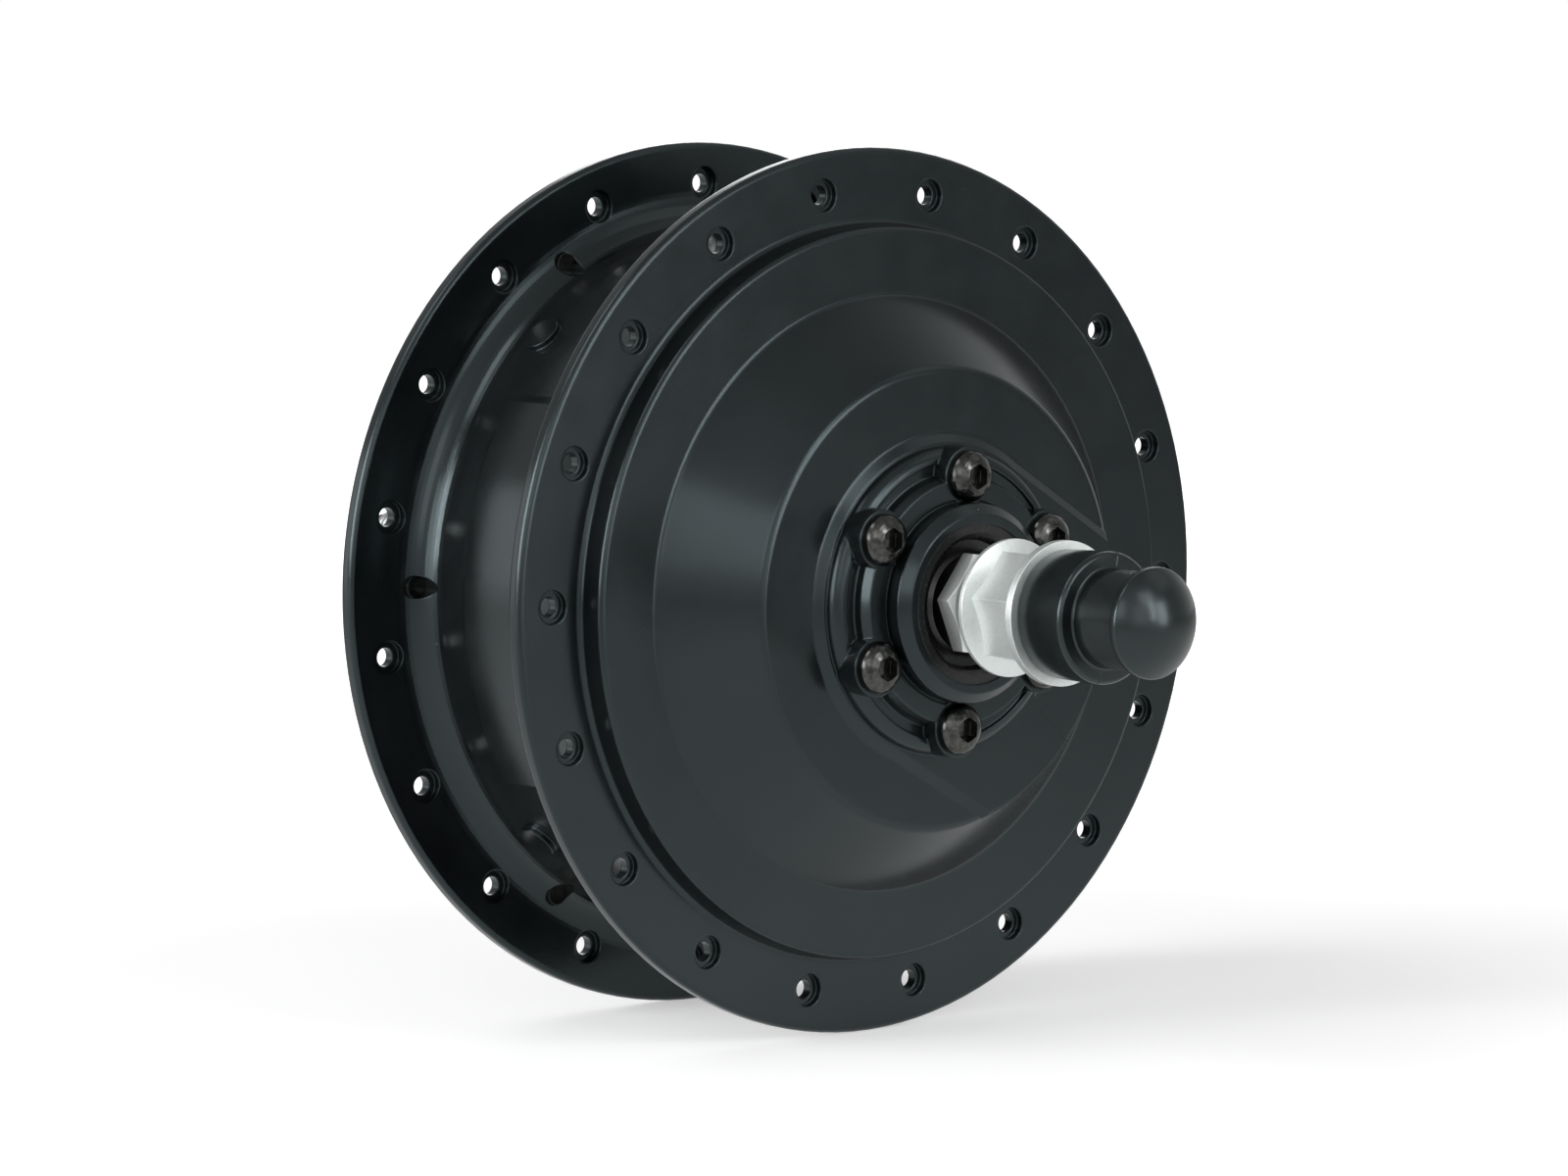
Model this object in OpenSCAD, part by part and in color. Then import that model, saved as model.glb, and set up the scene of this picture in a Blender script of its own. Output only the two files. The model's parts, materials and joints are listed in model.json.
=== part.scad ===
// Geared rear hub motor with a six-screw disc brake boss and a screw-on freewheel boss.
// The axle runs along Y: the disc brake side is at -Y, the freewheel side at +Y, and up is +Z.
// The origin is the middle of the axle, half way between the two lock nut faces.
// Angles are in degrees, clockwise from the top as seen from the disc side.

/* [Axle] */
// Distance between the outer faces of the two lock nuts
old = 135; // [130:1:142]
// Diameter of the axle thread at both ends
axle_d = 12; // [11:0.5:12.5]
// Width over the two flats at the ends of the axle
axle_flats = 10; // [9:0.5:10.5]
// Diameter of the thick part of the axle on the drive side
axle_body_d = 17; // [16:0.5:17.5]
// Diameter of the collar between the stator carrier and the drive side bearing
axle_collar_d = 21; // [20:0.5:23]
// How far the axle stands out past each lock nut face
axle_stub = 37.5; // [34:0.5:38]
// Diameter of the cable bore in the drive end of the axle
cable_bore_d = 6.6; // [5.6:0.2:7]
// Diameter of the hole through the cable grommet
grommet_hole_d = 5.2; // [4:0.2:5.2]
// How far the cable grommet stands out of the axle
grommet_out = 7.5; // [4:0.5:9]
// Thickness of the circlips on the axle
circlip_t = 1; // [0.8:0.1:1.2]

/* [Nuts] */
// Width across flats of the axle nuts
nut_af = 18; // [17:0.5:19]
// Height of an axle nut with its flange
nut_h = 12.7; // [10:0.1:14]
// Flange diameter of the axle nuts
nut_flange_d = 23.9; // [22.5:0.1:26]
// Direction of one corner of the axle nuts
axle_nut_angle = 283; // [240:1:299]
// Room left for the frame end between a lock nut and its axle nut
dropout_gap = 4.3; // [4:0.1:8]
// Diameter of the axle washers
washer_d = 25; // [23:0.5:28]
// Thickness of the axle washers
washer_t = 1.5; // [1:0.1:2.5]
// Width across flats of the lock nuts
lock_af = 17; // [15:0.5:18]
// Thickness of the disc side lock nut
disc_lock_t = 3.4; // [3:0.1:5]
// Thickness of the drive side lock nut
drive_lock_t = 5.5; // [4.5:0.1:6]
// Direction of one corner of the lock nuts
lock_nut_angle = 278; // [240:1:299]
// Outer diameter of the sleeve behind the disc side lock nut
sleeve_d = 17; // [15:0.5:17.5]

/* [Axle cap] */
// Diameter of the base of the axle cap
cap_base_d = 22.8; // [21:0.1:24]
// Length of the base of the axle cap
cap_base_h = 11; // [8:0.1:13]
// Diameter of the neck of the axle cap
cap_neck_d = 17; // [16:0.1:18]
// Length of the neck of the axle cap
cap_neck_h = 10; // [9:0.1:12]
// Diameter of the domed button of the axle cap
cap_dome_d = 19; // [18:0.1:21]
// Height of the straight rim under the dome
cap_rim_h = 1.4; // [1:0.1:2]
// Height of the dome itself
cap_dome_h = 4.1; // [2.5:0.1:5]

/* [Shell] */
// Outer diameter of both spoke flanges
flange_d = 156.8; // [152:0.2:162]
// Thickness of both spoke flanges
flange_t = 3.2; // [3:0.1:4]
// Clear distance between the two flanges
flange_gap = 44.3; // [43.5:0.1:50]
// Circle on which the spoke holes lie
spoke_pcd = 142; // [141.4:0.1:144]
// Spoke holes in each flange
spoke_count = 18; // [12:2:20]
// Diameter of a spoke hole
spoke_d = 3.4; // [2.6:0.1:3.6]
// Diameter of the recess round a spoke hole
spoke_sink_d = 5.9; // [5:0.1:6.2]
// Depth of the recess round a spoke hole
spoke_sink_h = 1.2; // [0.8:0.1:1.6]
// Direction of the first spoke hole in the disc side flange
disc_spoke_angle = -8.6; // [-20:0.1:20]
// Direction of the first spoke hole in the drive side flange
drive_spoke_angle = 1.3; // [-20:0.1:20]
// Outer diameter of the drum between the flanges
drum_d = 126; // [125:0.2:127.6]
// Radius of the fillet between drum and flanges
drum_fillet = 6.5; // [3:0.1:7]
// Wall thickness of the cast shell
wall_t = 3.4; // [3:0.1:3.8]
// Diameter of the flat ring in front of the disc side flange
ring_d = 129.2; // [128.2:0.2:131]
// Height of that ring over the flange
ring_h = 5; // [4.4:0.1:6]
// Diameter at the foot of the cone
cone_foot_d = 105.4; // [102:0.2:110]
// Diameter at the top of the cone
cone_top_d = 80.8; // [79:0.2:84]
// Height of the cone
cone_h = 13.9; // [13:0.1:15]

/* [Drum pads] */
// Raised pads round the drum
pad_count = 4; // [3:1:4]
// Height of the raised pads
pad_h = 1; // [0.6:0.1:1.4]
// Length of a pad along the axle
pad_w = 20.8; // [16:0.2:26]
// Angle that a pad covers
pad_span = 66.8; // [55:0.2:75]
// Width of the bevel round a pad
pad_bevel = 1.8; // [1:0.1:2.4]
// Size of the cut corners of a pad
pad_corner = 4; // [2:0.1:6]
// Direction of the middle of the first pad
pad_angle = 0.9; // [0:0.1:89.9]
// Diameter of the round bosses between the pads
bump_d = 7; // [5:0.1:9]

/* [Disc boss] */
// Distance from the disc side lock nut face back to the rotor seat
rotor_offset = 7.5; // [7:0.1:9]
// Circle of the six rotor screws
rotor_pcd = 44; // [43.6:0.1:44.6]
// Diameter of the seat pad round each rotor screw
rotor_pad_d = 10.4; // [10:0.1:11]
// How far the pads stand out of the side of the boss
pad_out = 0.2; // [0.1:0.1:0.4]
// Direction of the first rotor screw
rotor_screw_angle = 2.9; // [0:0.1:60]
// Outer diameter of the flat seat ring
seat_ring_d = 42.8; // [41:0.2:43.2]
// Height of the rotor seat over the plateau
boss_h = 6.1; // [5:0.1:7]
// Depth of the arc pockets between the screw pads
pocket_h = 3.2; // [2.9:0.1:3.8]
// Outer diameter of the arc pockets
pocket_d = 48.8; // [47.6:0.2:49]
// How far the rim outside the pockets lies below the rotor seat
rim_drop = 2.6; // [2:0.1:2.8]
// Radius of the rounded edge of that rim
rim_round = 2.3; // [1.5:0.1:2.3]
// Diameter of the centring spigot
spigot_d = 34.9; // [34.5:0.1:35]
// Height of the centring spigot over the seat
spigot_h = 4.2; // [3.6:0.1:5]
// Radius of the raised ring round the boss, and half width of the band that leaves it
band_half_w = 27.5; // [27.4:0.1:29]
// Height of the raised band over the plateau
band_h = 1; // [0.6:0.1:1.4]
// Direction of the raised band
band_angle = 120.9; // [0:0.1:360]
// Half of the angle that the recess in the band covers
recess_half = 11.4; // [9:0.1:14]
// Corner radius of the recess in the band
recess_corner = 4; // [2:0.1:4.5]

/* [Screws] */
// Thread diameter of the rotor screws
rotor_screw_d = 5; // [4:0.5:5.5]
// Length of the rotor screws under the head
rotor_screw_l = 8; // [6:0.5:8.5]
// Head diameter of the rotor screws
rotor_head_d = 9; // [8.4:0.1:9]
// Head height of the rotor screws
rotor_head_h = 2.75; // [2.4:0.05:3.2]
// Width across flats of the sockets in the rotor screws
rotor_socket_af = 4; // [3:0.1:4.2]
// Thread diameter of the side cover screws
cover_screw_d = 4; // [3:0.5:4]
// Length of the side cover screws under the head
cover_screw_l = 6.5; // [5:0.5:7]
// Circle of the side cover screws
cover_screw_pcd = 130.4; // [130:0.1:130.6]
// Direction of the first side cover screw
cover_screw_angle = 31.3; // [0:0.1:60]
// Head diameter of the side cover screws
cover_head_d = 5.6; // [5.2:0.1:5.8]
// Thread diameter of the small inner screws
small_screw_d = 3; // [2.5:0.5:3]

/* [Side cover] */
// Outer diameter of the side cover
cover_d = 136.4; // [136:0.1:136.8]
// Plate thickness of the side cover
cover_t = 3; // [2.6:0.1:3.4]
// Depth of the seat for the side cover in the flange
cover_seat_h = 1.2; // [0.8:0.1:1.4]
// Diameter at the foot of the side cover's cone
cover_cone_d = 112; // [108:0.5:116]
// How far the freewheel shoulder stands off the drive side flange
shoulder_h = 12.8; // [12.4:0.1:16]
// Diameter of the freewheel shoulder
shoulder_d = 44; // [42:0.5:46]
// Diameter of the freewheel thread
freewheel_d = 34.9; // [34.7:0.1:35]
// Length of the freewheel thread
freewheel_l = 11; // [10:0.5:13]

/* [Bearings] */
// Outer diameter of the disc side bearing
disc_bearing_d = 32; // [30:1:33]
// Width of the disc side bearing
disc_bearing_w = 10; // [8:0.5:10]
// Outer diameter of the drive side bearing
drive_bearing_d = 35; // [32:1:36]
// Width of the drive side bearing
drive_bearing_w = 10; // [8:0.5:10]
// Outer diameter of the rotor bearing
rotor_bearing_d = 28; // [26:1:28]
// Width of the rotor bearing
rotor_bearing_w = 8; // [7:0.5:8]
// Outer diameter of the planet bearings
planet_bearing_d = 22; // [19:1:23]
// Width of the planet bearings
planet_bearing_w = 7; // [6:0.5:7]
// Outer diameter of the disc side seal
disc_seal_d = 28; // [26:0.5:29]
// Outer diameter of the drive side seal
drive_seal_d = 26; // [24:0.5:28]

/* [Gears] */
// Tooth module of the planetary gears
gear_m = 1; // [0.9:0.05:1]
// Teeth on the sun gear
sun_n = 18; // [18:3:21]
// Teeth on each planet gear
planet_n = 36; // [33:3:39]
// Face width of the gears
gear_w = 11; // [10.5:0.1:11.5]
// Play between two meshing flanks
backlash = 0.2; // [0.16:0.02:0.3]
// Diameter of the planet pins
planet_pin_d = 8; // [7:0.5:8.5]
// Outer diameter of the toothed rim of the ring gear
ring_rim_d = 104; // [103:0.5:106]
// Thickness of the flange of the ring gear
ring_flange_t = 4.6; // [3.6:0.1:5.4]

/* [Clutch] */
// Diameter of the inner race of the one-way clutch
race_d = 24; // [22:0.5:24.5]
// Diameter of the clutch rollers
roller_d = 4; // [3.6:0.1:4.2]
// Number of clutch rollers
roller_n = 6; // [5:1:8]
// Outer diameter of the clutch housing
clutch_d = 42; // [41:0.5:43]
// Thickness of the planet carrier plate
carrier_t = 4.4; // [3.8:0.1:4.6]

/* [Motor] */
// Gap between the rotor bell and the inside of the shell
bell_gap = 3.5; // [3:0.1:8]
// Length of the stator stack
stator_l = 20; // [17:0.5:20.5]
// Depth of the stator stack, from its outside to its bore
stator_depth = 17; // [16:0.5:19]
// Stator teeth
slot_n = 18; // [12:3:18]
// Width of a stator tooth
tooth_w = 7; // [6:0.2:7.2]
// Gap between stator and magnets
air_gap = 0.6; // [0.5:0.1:0.8]
// Thickness of the magnets
magnet_t = 2.5; // [2:0.1:2.8]
// Magnets round the rotor
magnet_n = 20; // [16:2:22]
// Wall of the rotor bell
bell_t = 3; // [2.6:0.1:3.2]
// How far the windings stand past the stack
overhang = 4; // [3:0.1:4.4]
// Thickness of the sensor board
board_t = 1.6; // [1:0.1:2]

/* [Fits] */
// Radial clearance of a pressed or screwed seat
seat_clear = 0.02; // [0.01:0.01:0.04]
// Radial clearance of a running fit
run_clear = 0.05; // [0.03:0.01:0.08]

/* [Hidden] */
$fn = 96;
arc_steps = 6;
eps = 1;
axle_r = axle_d / 2;
axle_bore_r = axle_r + seat_clear;
body_r = axle_body_d / 2;
collar_r = axle_collar_d / 2;
flange_r = flange_d / 2;
drum_r = drum_d / 2;
drum_in_r = drum_r - wall_t;
cone_foot_r = cone_foot_d / 2;
cone_slope = (cone_foot_d - cone_top_d) / 2 / cone_h;
cover_r = cover_d / 2;
boss_r = (rotor_pcd + rotor_pad_d) / 2 - pad_out;

// Places along the axle, from the disc side to the drive side
disc_face_y = -old / 2;
drive_face_y = old / 2;
axle_end_y = drive_face_y + axle_stub;
lock_back_y = disc_face_y + disc_lock_t;
seat_y = disc_face_y + rotor_offset;
spigot_end_y = seat_y - spigot_h;
seal_l = 5;
bearing_lip = 1.2;
disc_bearing_y = spigot_end_y + seal_l + bearing_lip;
disc_bearing_back_y = disc_bearing_y + disc_bearing_w;
plateau_y = seat_y + boss_h;
band_y = plateau_y - band_h;
ring_y = plateau_y + cone_h;
disc_flange_y = ring_y + ring_h;
disc_flange_back_y = disc_flange_y + flange_t;
drive_flange_back_y = disc_flange_back_y + flange_gap;
drive_flange_y = drive_flange_back_y + flange_t;
cover_seat_y = drive_flange_y - cover_seat_h;
cover_top_y = cover_seat_y + cover_t;
shoulder_y = drive_flange_y + shoulder_h;
thread_end_y = shoulder_y + freewheel_l;
drive_bearing_y = shoulder_y - 1.5 - drive_bearing_w;
drive_bearing_back_y = drive_bearing_y + drive_bearing_w;
body_end_y = thread_end_y + 0.5;
gear_y = ring_y + wall_t + 1;
gear_back_y = gear_y + gear_w;
sun_flange_y = gear_back_y + 0.5;
sun_flange_t = 2.6;
rotor_hub_y = sun_flange_y + sun_flange_t;
web_t = bell_t;
body_start_y = rotor_hub_y + rotor_bearing_w;
winding_y = rotor_hub_y + web_t + 1.5;
stator_y = winding_y + overhang;
stator_back_y = stator_y + stator_l;
winding_back_y = stator_back_y + overhang;
board_y = winding_back_y + 0.3;
collar_y = stator_back_y - 2;
hub_y = body_start_y + 3;
carrier_back_y = gear_y - 1;
carrier_y = carrier_back_y - carrier_t;
race_back_y = gear_y - 1.4;
race_y = carrier_y - 4.8;

// Gear sizes
sun_r = gear_m * sun_n / 2;
planet_r = gear_m * planet_n / 2;
planet_orbit = sun_r + planet_r;
ring_n = sun_n + 2 * planet_n;
ring_r = gear_m * ring_n / 2;
pressure_angle = 20;
addendum = gear_m;
dedendum = 1.25 * gear_m;
planet_bearing_y = gear_y + (gear_w - planet_bearing_w) / 2;
sun_bore_r = axle_r + 0.3;
sun_flange_r = 19.9;
sun_screw_r = 16.9;
bell_r = drum_in_r - bell_gap;
magnet_out_r = bell_r - bell_t;
stator_d = 2 * (magnet_out_r - magnet_t - air_gap);
stator_bore_d = stator_d - 2 * stator_depth;
stator_hub_r = body_r + 6;
rim_in_r = stator_bore_d / 2 - 3.5;
post_r = 2.4;
roller_orbit = (race_d + roller_d) / 2 + 0.03;
bush_r = race_d / 2 + 1.2;
clutch_r = clutch_d / 2;
carrier_screw_r = clutch_r + 3;
carrier_r = planet_orbit + planet_pin_d / 2 + 6;

// Turned outlines are lists of [radius, place along the axle, corner radius]
function unit(v) = v / norm(v);
function polar(r, a) = [r * cos(a), r * sin(a)];
function short_turn(a) = a > 180 ? a - 360 : a < -180 ? a + 360 : a;
function corner_arc(before, at, after, rad) =
    let (u = unit(before - at), v = unit(after - at), half = acos(u * v) / 2)
    let (centre = at + unit(u + v) * rad / sin(half))
    let (first = at + u * rad / tan(half) - centre, last = at + v * rad / tan(half) - centre)
    let (a0 = atan2(first.y, first.x), turn = short_turn(atan2(last.y, last.x) - a0))
    let (steps = rad > 3 ? 2 * arc_steps : arc_steps)
    [for (i = [0 : steps]) centre + polar(rad, a0 + turn * i / steps)];
function flat(p) = [p.x, p.y];
function rounded(points) =
    let (n = len(points))
    [for (i = [0 : n - 1])
        let (p = points[i], rad = len(p) > 2 ? p.z : 0)
        each rad == 0 ? [flat(p)]
            : corner_arc(flat(points[(i + n - 1) % n]), flat(p), flat(points[(i + 1) % n]), rad)];

// Involute gear outlines
function involute(a) = tan(a) * 180 / PI - a;
function tooth_half(n, half_w, r) =
    let (pitch = gear_m * n / 2, base = pitch * cos(pressure_angle))
    half_w / pitch * 180 / PI + involute(pressure_angle) - involute(r > base ? acos(base / r) : 0);
function gear_outline(n, root, tip, half_w) =
    let (base = gear_m * n / 2 * cos(pressure_angle), low = max(root + 0.1, base))
    let (steps = [root, low, (low + tip) / 2, tip])
    [for (i = [0 : n - 1])
        each concat(
            [for (r = steps) polar(r, i * 360 / n - tooth_half(n, half_w, r))],
            [for (k = [3 : -1 : 0]) polar(steps[k], i * 360 / n + tooth_half(n, half_w, steps[k]))]
        )];
function outer_gear(n) =
    gear_outline(n, gear_m * n / 2 - dedendum, gear_m * n / 2 + addendum, PI * gear_m / 4 - backlash / 4);
function inner_gear(n) =
    gear_outline(n, gear_m * n / 2 - addendum, gear_m * n / 2 + dedendum, PI * gear_m / 4 + backlash / 4);

// The inner radius of the shell's cone at a place along the axle
function cone_in_r(y) = cone_foot_r + (y - ring_y) * cone_slope - wall_t * norm([1, cone_slope]);

module along_axle() rotate([-90, 0, 0]) children();

module turned(outline) along_axle() rotate_extrude() polygon(rounded(outline));

module ring_of(count, r, first = 0) {
    for (i = [0 : count - 1])
        rotate([0, 0, first - 90 + i * 360 / count]) translate([r, 0, 0]) children();
}

module tube(out_r, in_r, y, back_y) turned([[in_r, y], [out_r, y], [out_r, back_y], [in_r, back_y]]);

module rod(r, y, back_y) along_axle() translate([0, 0, y]) cylinder(h = back_y - y, r = r);

// A cap screw whose head stands on z = 0 and whose shank reaches down from there
module screw(d, length, head_d, head_h, socket_af, dome = 0) {
    head_r = head_d / 2;
    rise = head_h - 0.5;
    difference() {
        union() {
            translate([0, 0, -length]) cylinder(h = length + eps / 2, r = d / 2);
            rotate_extrude() polygon(concat(
                [[0, 0], [head_r, 0]],
                dome > 0 ? [for (a = [0 : 10 : 60]) [head_r * cos(a), 0.5 + rise * sin(a) / sin(60)]]
                    : [[head_r, head_h - 0.3], [head_r - 0.3, head_h]],
                [[0, head_h]]
            ));
        }
        translate([0, 0, head_h * 0.35]) cylinder(h = head_h, d = socket_af / cos(30), $fn = 6);
    }
}

// A hexagon with the corners of both faces cut off, standing on z = 0
module hexagon(af, h, vertex_angle, base_cut) {
    tip_r = af / cos(30) / 2;
    cut = tip_r - af / 2;
    intersection() {
        rotate([0, 0, vertex_angle - 90]) cylinder(h = h, r = tip_r, $fn = 6);
        rotate_extrude() polygon([
            [0, 0], [tip_r + 1 - cut * base_cut, 0], [tip_r + 1, cut * base_cut * 0.6],
            [tip_r + 1, h - (cut + 1) * 0.6], [tip_r - cut, h], [0, h]
        ]);
    }
}

module lock_nut(thickness) difference() {
    hexagon(lock_af, thickness, lock_nut_angle, 0.5);
    translate([0, 0, -eps]) cylinder(h = thickness + 2 * eps, r = axle_bore_r);
}

// A flange nut whose clamping face is on z = 0
module flange_nut() {
    rim = nut_flange_d / 2;
    difference() {
        union() {
            hexagon(nut_af, nut_h, axle_nut_angle, 0.5);
            rotate_extrude() polygon([
                [0, 0], [rim - 0.3, 0], [rim, 0.3], [rim, 1.1], [nut_af / 2, 2.2], [0, 2.2]
            ]);
        }
        translate([0, 0, -eps]) cylinder(h = nut_h + 2 * eps, r = axle_bore_r);
        translate([0, 0, -0.01]) cylinder(h = 0.6, r1 = axle_bore_r + 0.6, r2 = axle_bore_r);
    }
}

// Ball bearings, with a groove for the balls in each ring
function ball_r(in_r, out_r) = (out_r - in_r) * 0.29;
module bearing_ring(in_r, out_r, y, w, inner) {
    mid = (in_r + out_r) / 2;
    ball = ball_r(in_r, out_r);
    from = inner ? in_r : mid + ball / 2;
    to = inner ? mid - ball / 2 : out_r;
    along_axle() rotate_extrude() difference() {
        translate([from, y]) square([to - from, w]);
        translate([mid, y + w / 2]) circle(r = ball + run_clear);
    }
}
module bearing_balls(in_r, out_r, y, w, count) {
    along_axle() ring_of(count, (in_r + out_r) / 2) translate([0, 0, y + w / 2])
        sphere(r = ball_r(in_r, out_r));
}

// A lip seal in a pocket, which opens towards z = 0 and runs on a shaft
module lip_seal(out_r, shaft_r, length) {
    lip_r = shaft_r + run_clear;
    rotate_extrude() polygon([
        [out_r, 0.4], [out_r - 1.6, 0.4], [out_r - 2.4, 1], [out_r - 3, 2.9], [lip_r + 0.7, 3.2],
        [lip_r, 2.6], [lip_r, 4], [lip_r + 0.7, length - 0.1], [out_r, length - 0.1]
    ]);
}

// A key between a shaft and what it carries, at the bottom of the shaft
module key(shaft_r, w, y, back_y, grow = 0) {
    along_axle() ring_of(1, shaft_r - w / 2 - grow, 180) translate([0, -w / 2 - grow, y - grow])
        cube([w + 2 * grow, w + 2 * grow, back_y - y + 2 * grow]);
}
clutch_key_w = 3;
stator_key_w = 4;
module clutch_key(grow = 0) key(axle_r, clutch_key_w, race_y + 1, race_back_y - 1, grow);
module stator_key(grow = 0) key(body_r, stator_key_w, hub_y + 2, collar_y - 2, grow);

circlip_depth = 0.6;
clutch_clip_y = race_back_y;
rotor_clip_y = rotor_hub_y - circlip_t;
drive_clip_y = drive_bearing_back_y;

module axle() color("silver") {
    groove = axle_r - circlip_depth;
    groove_b = body_r - circlip_depth;
    difference() {
        turned([
            [0, -axle_end_y], [axle_r - 1, -axle_end_y], [axle_r, 1 - axle_end_y],
            [axle_r, clutch_clip_y], [groove, clutch_clip_y],
            [groove, clutch_clip_y + circlip_t], [axle_r, clutch_clip_y + circlip_t],
            [axle_r, rotor_clip_y], [groove, rotor_clip_y],
            [groove, rotor_hub_y], [axle_r, rotor_hub_y],
            [axle_r, body_start_y], [body_r, body_start_y],
            [body_r, collar_y], [collar_r, collar_y],
            [collar_r, drive_bearing_y], [body_r, drive_bearing_y],
            [body_r, drive_clip_y], [groove_b, drive_clip_y],
            [groove_b, drive_clip_y + circlip_t], [body_r, drive_clip_y + circlip_t],
            [body_r, body_end_y], [axle_r, body_end_y],
            [axle_r, axle_end_y - 1], [axle_r - 1, axle_end_y], [0, axle_end_y]
        ]);
        for (side = [-1, 1], end = [-1, 1])
            translate([side * (axle_flats / 2 + axle_r), end * (drive_face_y - 1 + axle_stub), 0])
                cube([axle_d, 2 * axle_stub, 2 * axle_d], center = true);
        rod(cable_bore_d / 2, collar_y + 8, axle_end_y + eps);
        translate([0, collar_y + 8, 0]) cylinder(h = axle_collar_d, d = cable_bore_d);
        clutch_key(seat_clear);
        stator_key(seat_clear);
    }
}

module disc_lock_nut() color("gainsboro") along_axle() translate([0, 0, lock_back_y]) mirror([0, 0, 1])
    lock_nut(disc_lock_t);

module drive_lock_nut() color("gainsboro") along_axle() translate([0, 0, drive_face_y - drive_lock_t])
    lock_nut(drive_lock_t);

module disc_sleeve() color("#26282b") tube(sleeve_d / 2, axle_bore_r, lock_back_y, disc_bearing_y);

module drive_sleeve() color("silver") tube(body_r, axle_bore_r, body_end_y, drive_face_y - drive_lock_t);

disc_nut_y = disc_face_y - dropout_gap;
drive_nut_y = drive_face_y + dropout_gap + washer_t;
disc_washer_y = disc_nut_y - nut_h - washer_t;

module disc_axle_nut() color("gainsboro") along_axle() translate([0, 0, disc_nut_y]) mirror([0, 0, 1])
    flange_nut();

module drive_axle_nut() color("gainsboro") along_axle() translate([0, 0, drive_nut_y]) flange_nut();

module disc_washer() color("gainsboro")
    tube(washer_d / 2, axle_bore_r, disc_washer_y, disc_washer_y + washer_t);

module drive_washer() color("gainsboro")
    tube(washer_d / 2, axle_bore_r, drive_nut_y - washer_t, drive_nut_y);

module axle_cap() color("black") {
    base_r = cap_base_d / 2;
    neck_r = cap_neck_d / 2;
    dome_r = cap_dome_d / 2;
    step_y = disc_washer_y - cap_base_h;
    rim_y = step_y - cap_neck_h;
    top_y = rim_y - cap_rim_h;
    curve_r = (dome_r ^ 2 + cap_dome_h ^ 2) / (2 * cap_dome_h);
    dome_turn = asin(dome_r / curve_r);
    centre = [0, top_y - cap_dome_h + curve_r];
    turned(concat(
        [[axle_bore_r, disc_washer_y], [base_r - 0.4, disc_washer_y, 0.3]],
        [[base_r, step_y, 0.8], [neck_r, step_y, 0.5], [neck_r, rim_y + 0.6], [neck_r - 0.4, rim_y + 0.4]],
        [[neck_r - 0.4, rim_y], [dome_r - 0.2, rim_y, 0.2]],
        [for (i = [0 : 9]) centre + polar(curve_r, dome_turn * (1 - i / 9) - 90)],
        [[0, -axle_end_y], [axle_bore_r, -axle_end_y]]
    ));
}

module cable_grommet() color("black") {
    plug_r = cable_bore_d / 2 - seat_clear;
    hole_r = grommet_hole_d / 2;
    out_y = axle_end_y + grommet_out;
    turned([
        [hole_r, axle_end_y - 8], [plug_r, axle_end_y - 8], [plug_r, axle_end_y],
        [axle_r - 1, axle_end_y, 0.3], [axle_r - 1, axle_end_y + 2, 0.4],
        [hole_r + 1.2, out_y, 0.4], [hole_r, out_y]
    ]);
}

module axle_keys() color("dimgray") {
    clutch_key();
    stator_key();
}

module circlip(shaft_r, width, y) difference() {
    tube(shaft_r + width, shaft_r - circlip_depth + seat_clear, y + seat_clear, y + circlip_t - seat_clear);
    along_axle() ring_of(1, 0, 90) translate([0, -shaft_r / 4, y - eps])
        cube([2 * shaft_r, shaft_r / 2, circlip_t + 2 * eps]);
}

module axle_circlips() color("dimgray") {
    circlip(axle_r, 1.5, clutch_clip_y);
    circlip(axle_r, 1.5, rotor_clip_y);
    circlip(body_r, 2, drive_clip_y);
}

// One lamination seen along the axle, with a slot between each two teeth
module lamination() {
    yoke = stator_bore_d / 2 + 5;
    shoe = stator_d / 2 - 2.4;
    half = 180 / slot_n;
    gap = 1.3;
    difference() {
        circle(d = stator_d);
        circle(r = stator_bore_d / 2 + seat_clear);
        for (i = [0 : slot_n - 1])
            rotate([0, 0, (2 * i + 1) * half]) polygon([
                [yoke, -(yoke * sin(half) - tooth_w / 2)], [shoe - 1, -(shoe * sin(half) - tooth_w / 2)],
                [shoe, -gap], [stator_d, -gap], [stator_d, gap], [shoe, gap],
                [shoe - 1, shoe * sin(half) - tooth_w / 2], [yoke, yoke * sin(half) - tooth_w / 2]
            ]);
    }
}

module stator_core() color("slategray") along_axle() translate([0, 0, stator_y])
    linear_extrude(stator_l) lamination();

module soft_rectangle(w, h, rad) {
    square([w, h - 2 * rad], center = true);
    square([w - 2 * rad, h], center = true);
    for (x = [-1, 1], y = [-1, 1]) translate([x * (w / 2 - rad), y * (h / 2 - rad)]) circle(r = rad);
}

// A coil round every tooth, with rounded ends past both faces of the stack
module stator_windings() color("orangered") {
    coil_in = stator_bore_d / 2 + 5.6;
    coil_out = stator_d / 2 - 3.5;
    coil_t = coil_in * tan(180 / slot_n) - tooth_w / 2 - 0.4;
    along_axle() ring_of(slot_n, coil_in, 90) translate([0, 0, (winding_y + winding_back_y) / 2])
        rotate([90, 0, 90]) linear_extrude(coil_out - coil_in) difference() {
            soft_rectangle(tooth_w + 2 * coil_t, winding_back_y - winding_y, 2.4);
            square([tooth_w + 0.2, stator_l + 0.2], center = true);
        }
}

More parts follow.
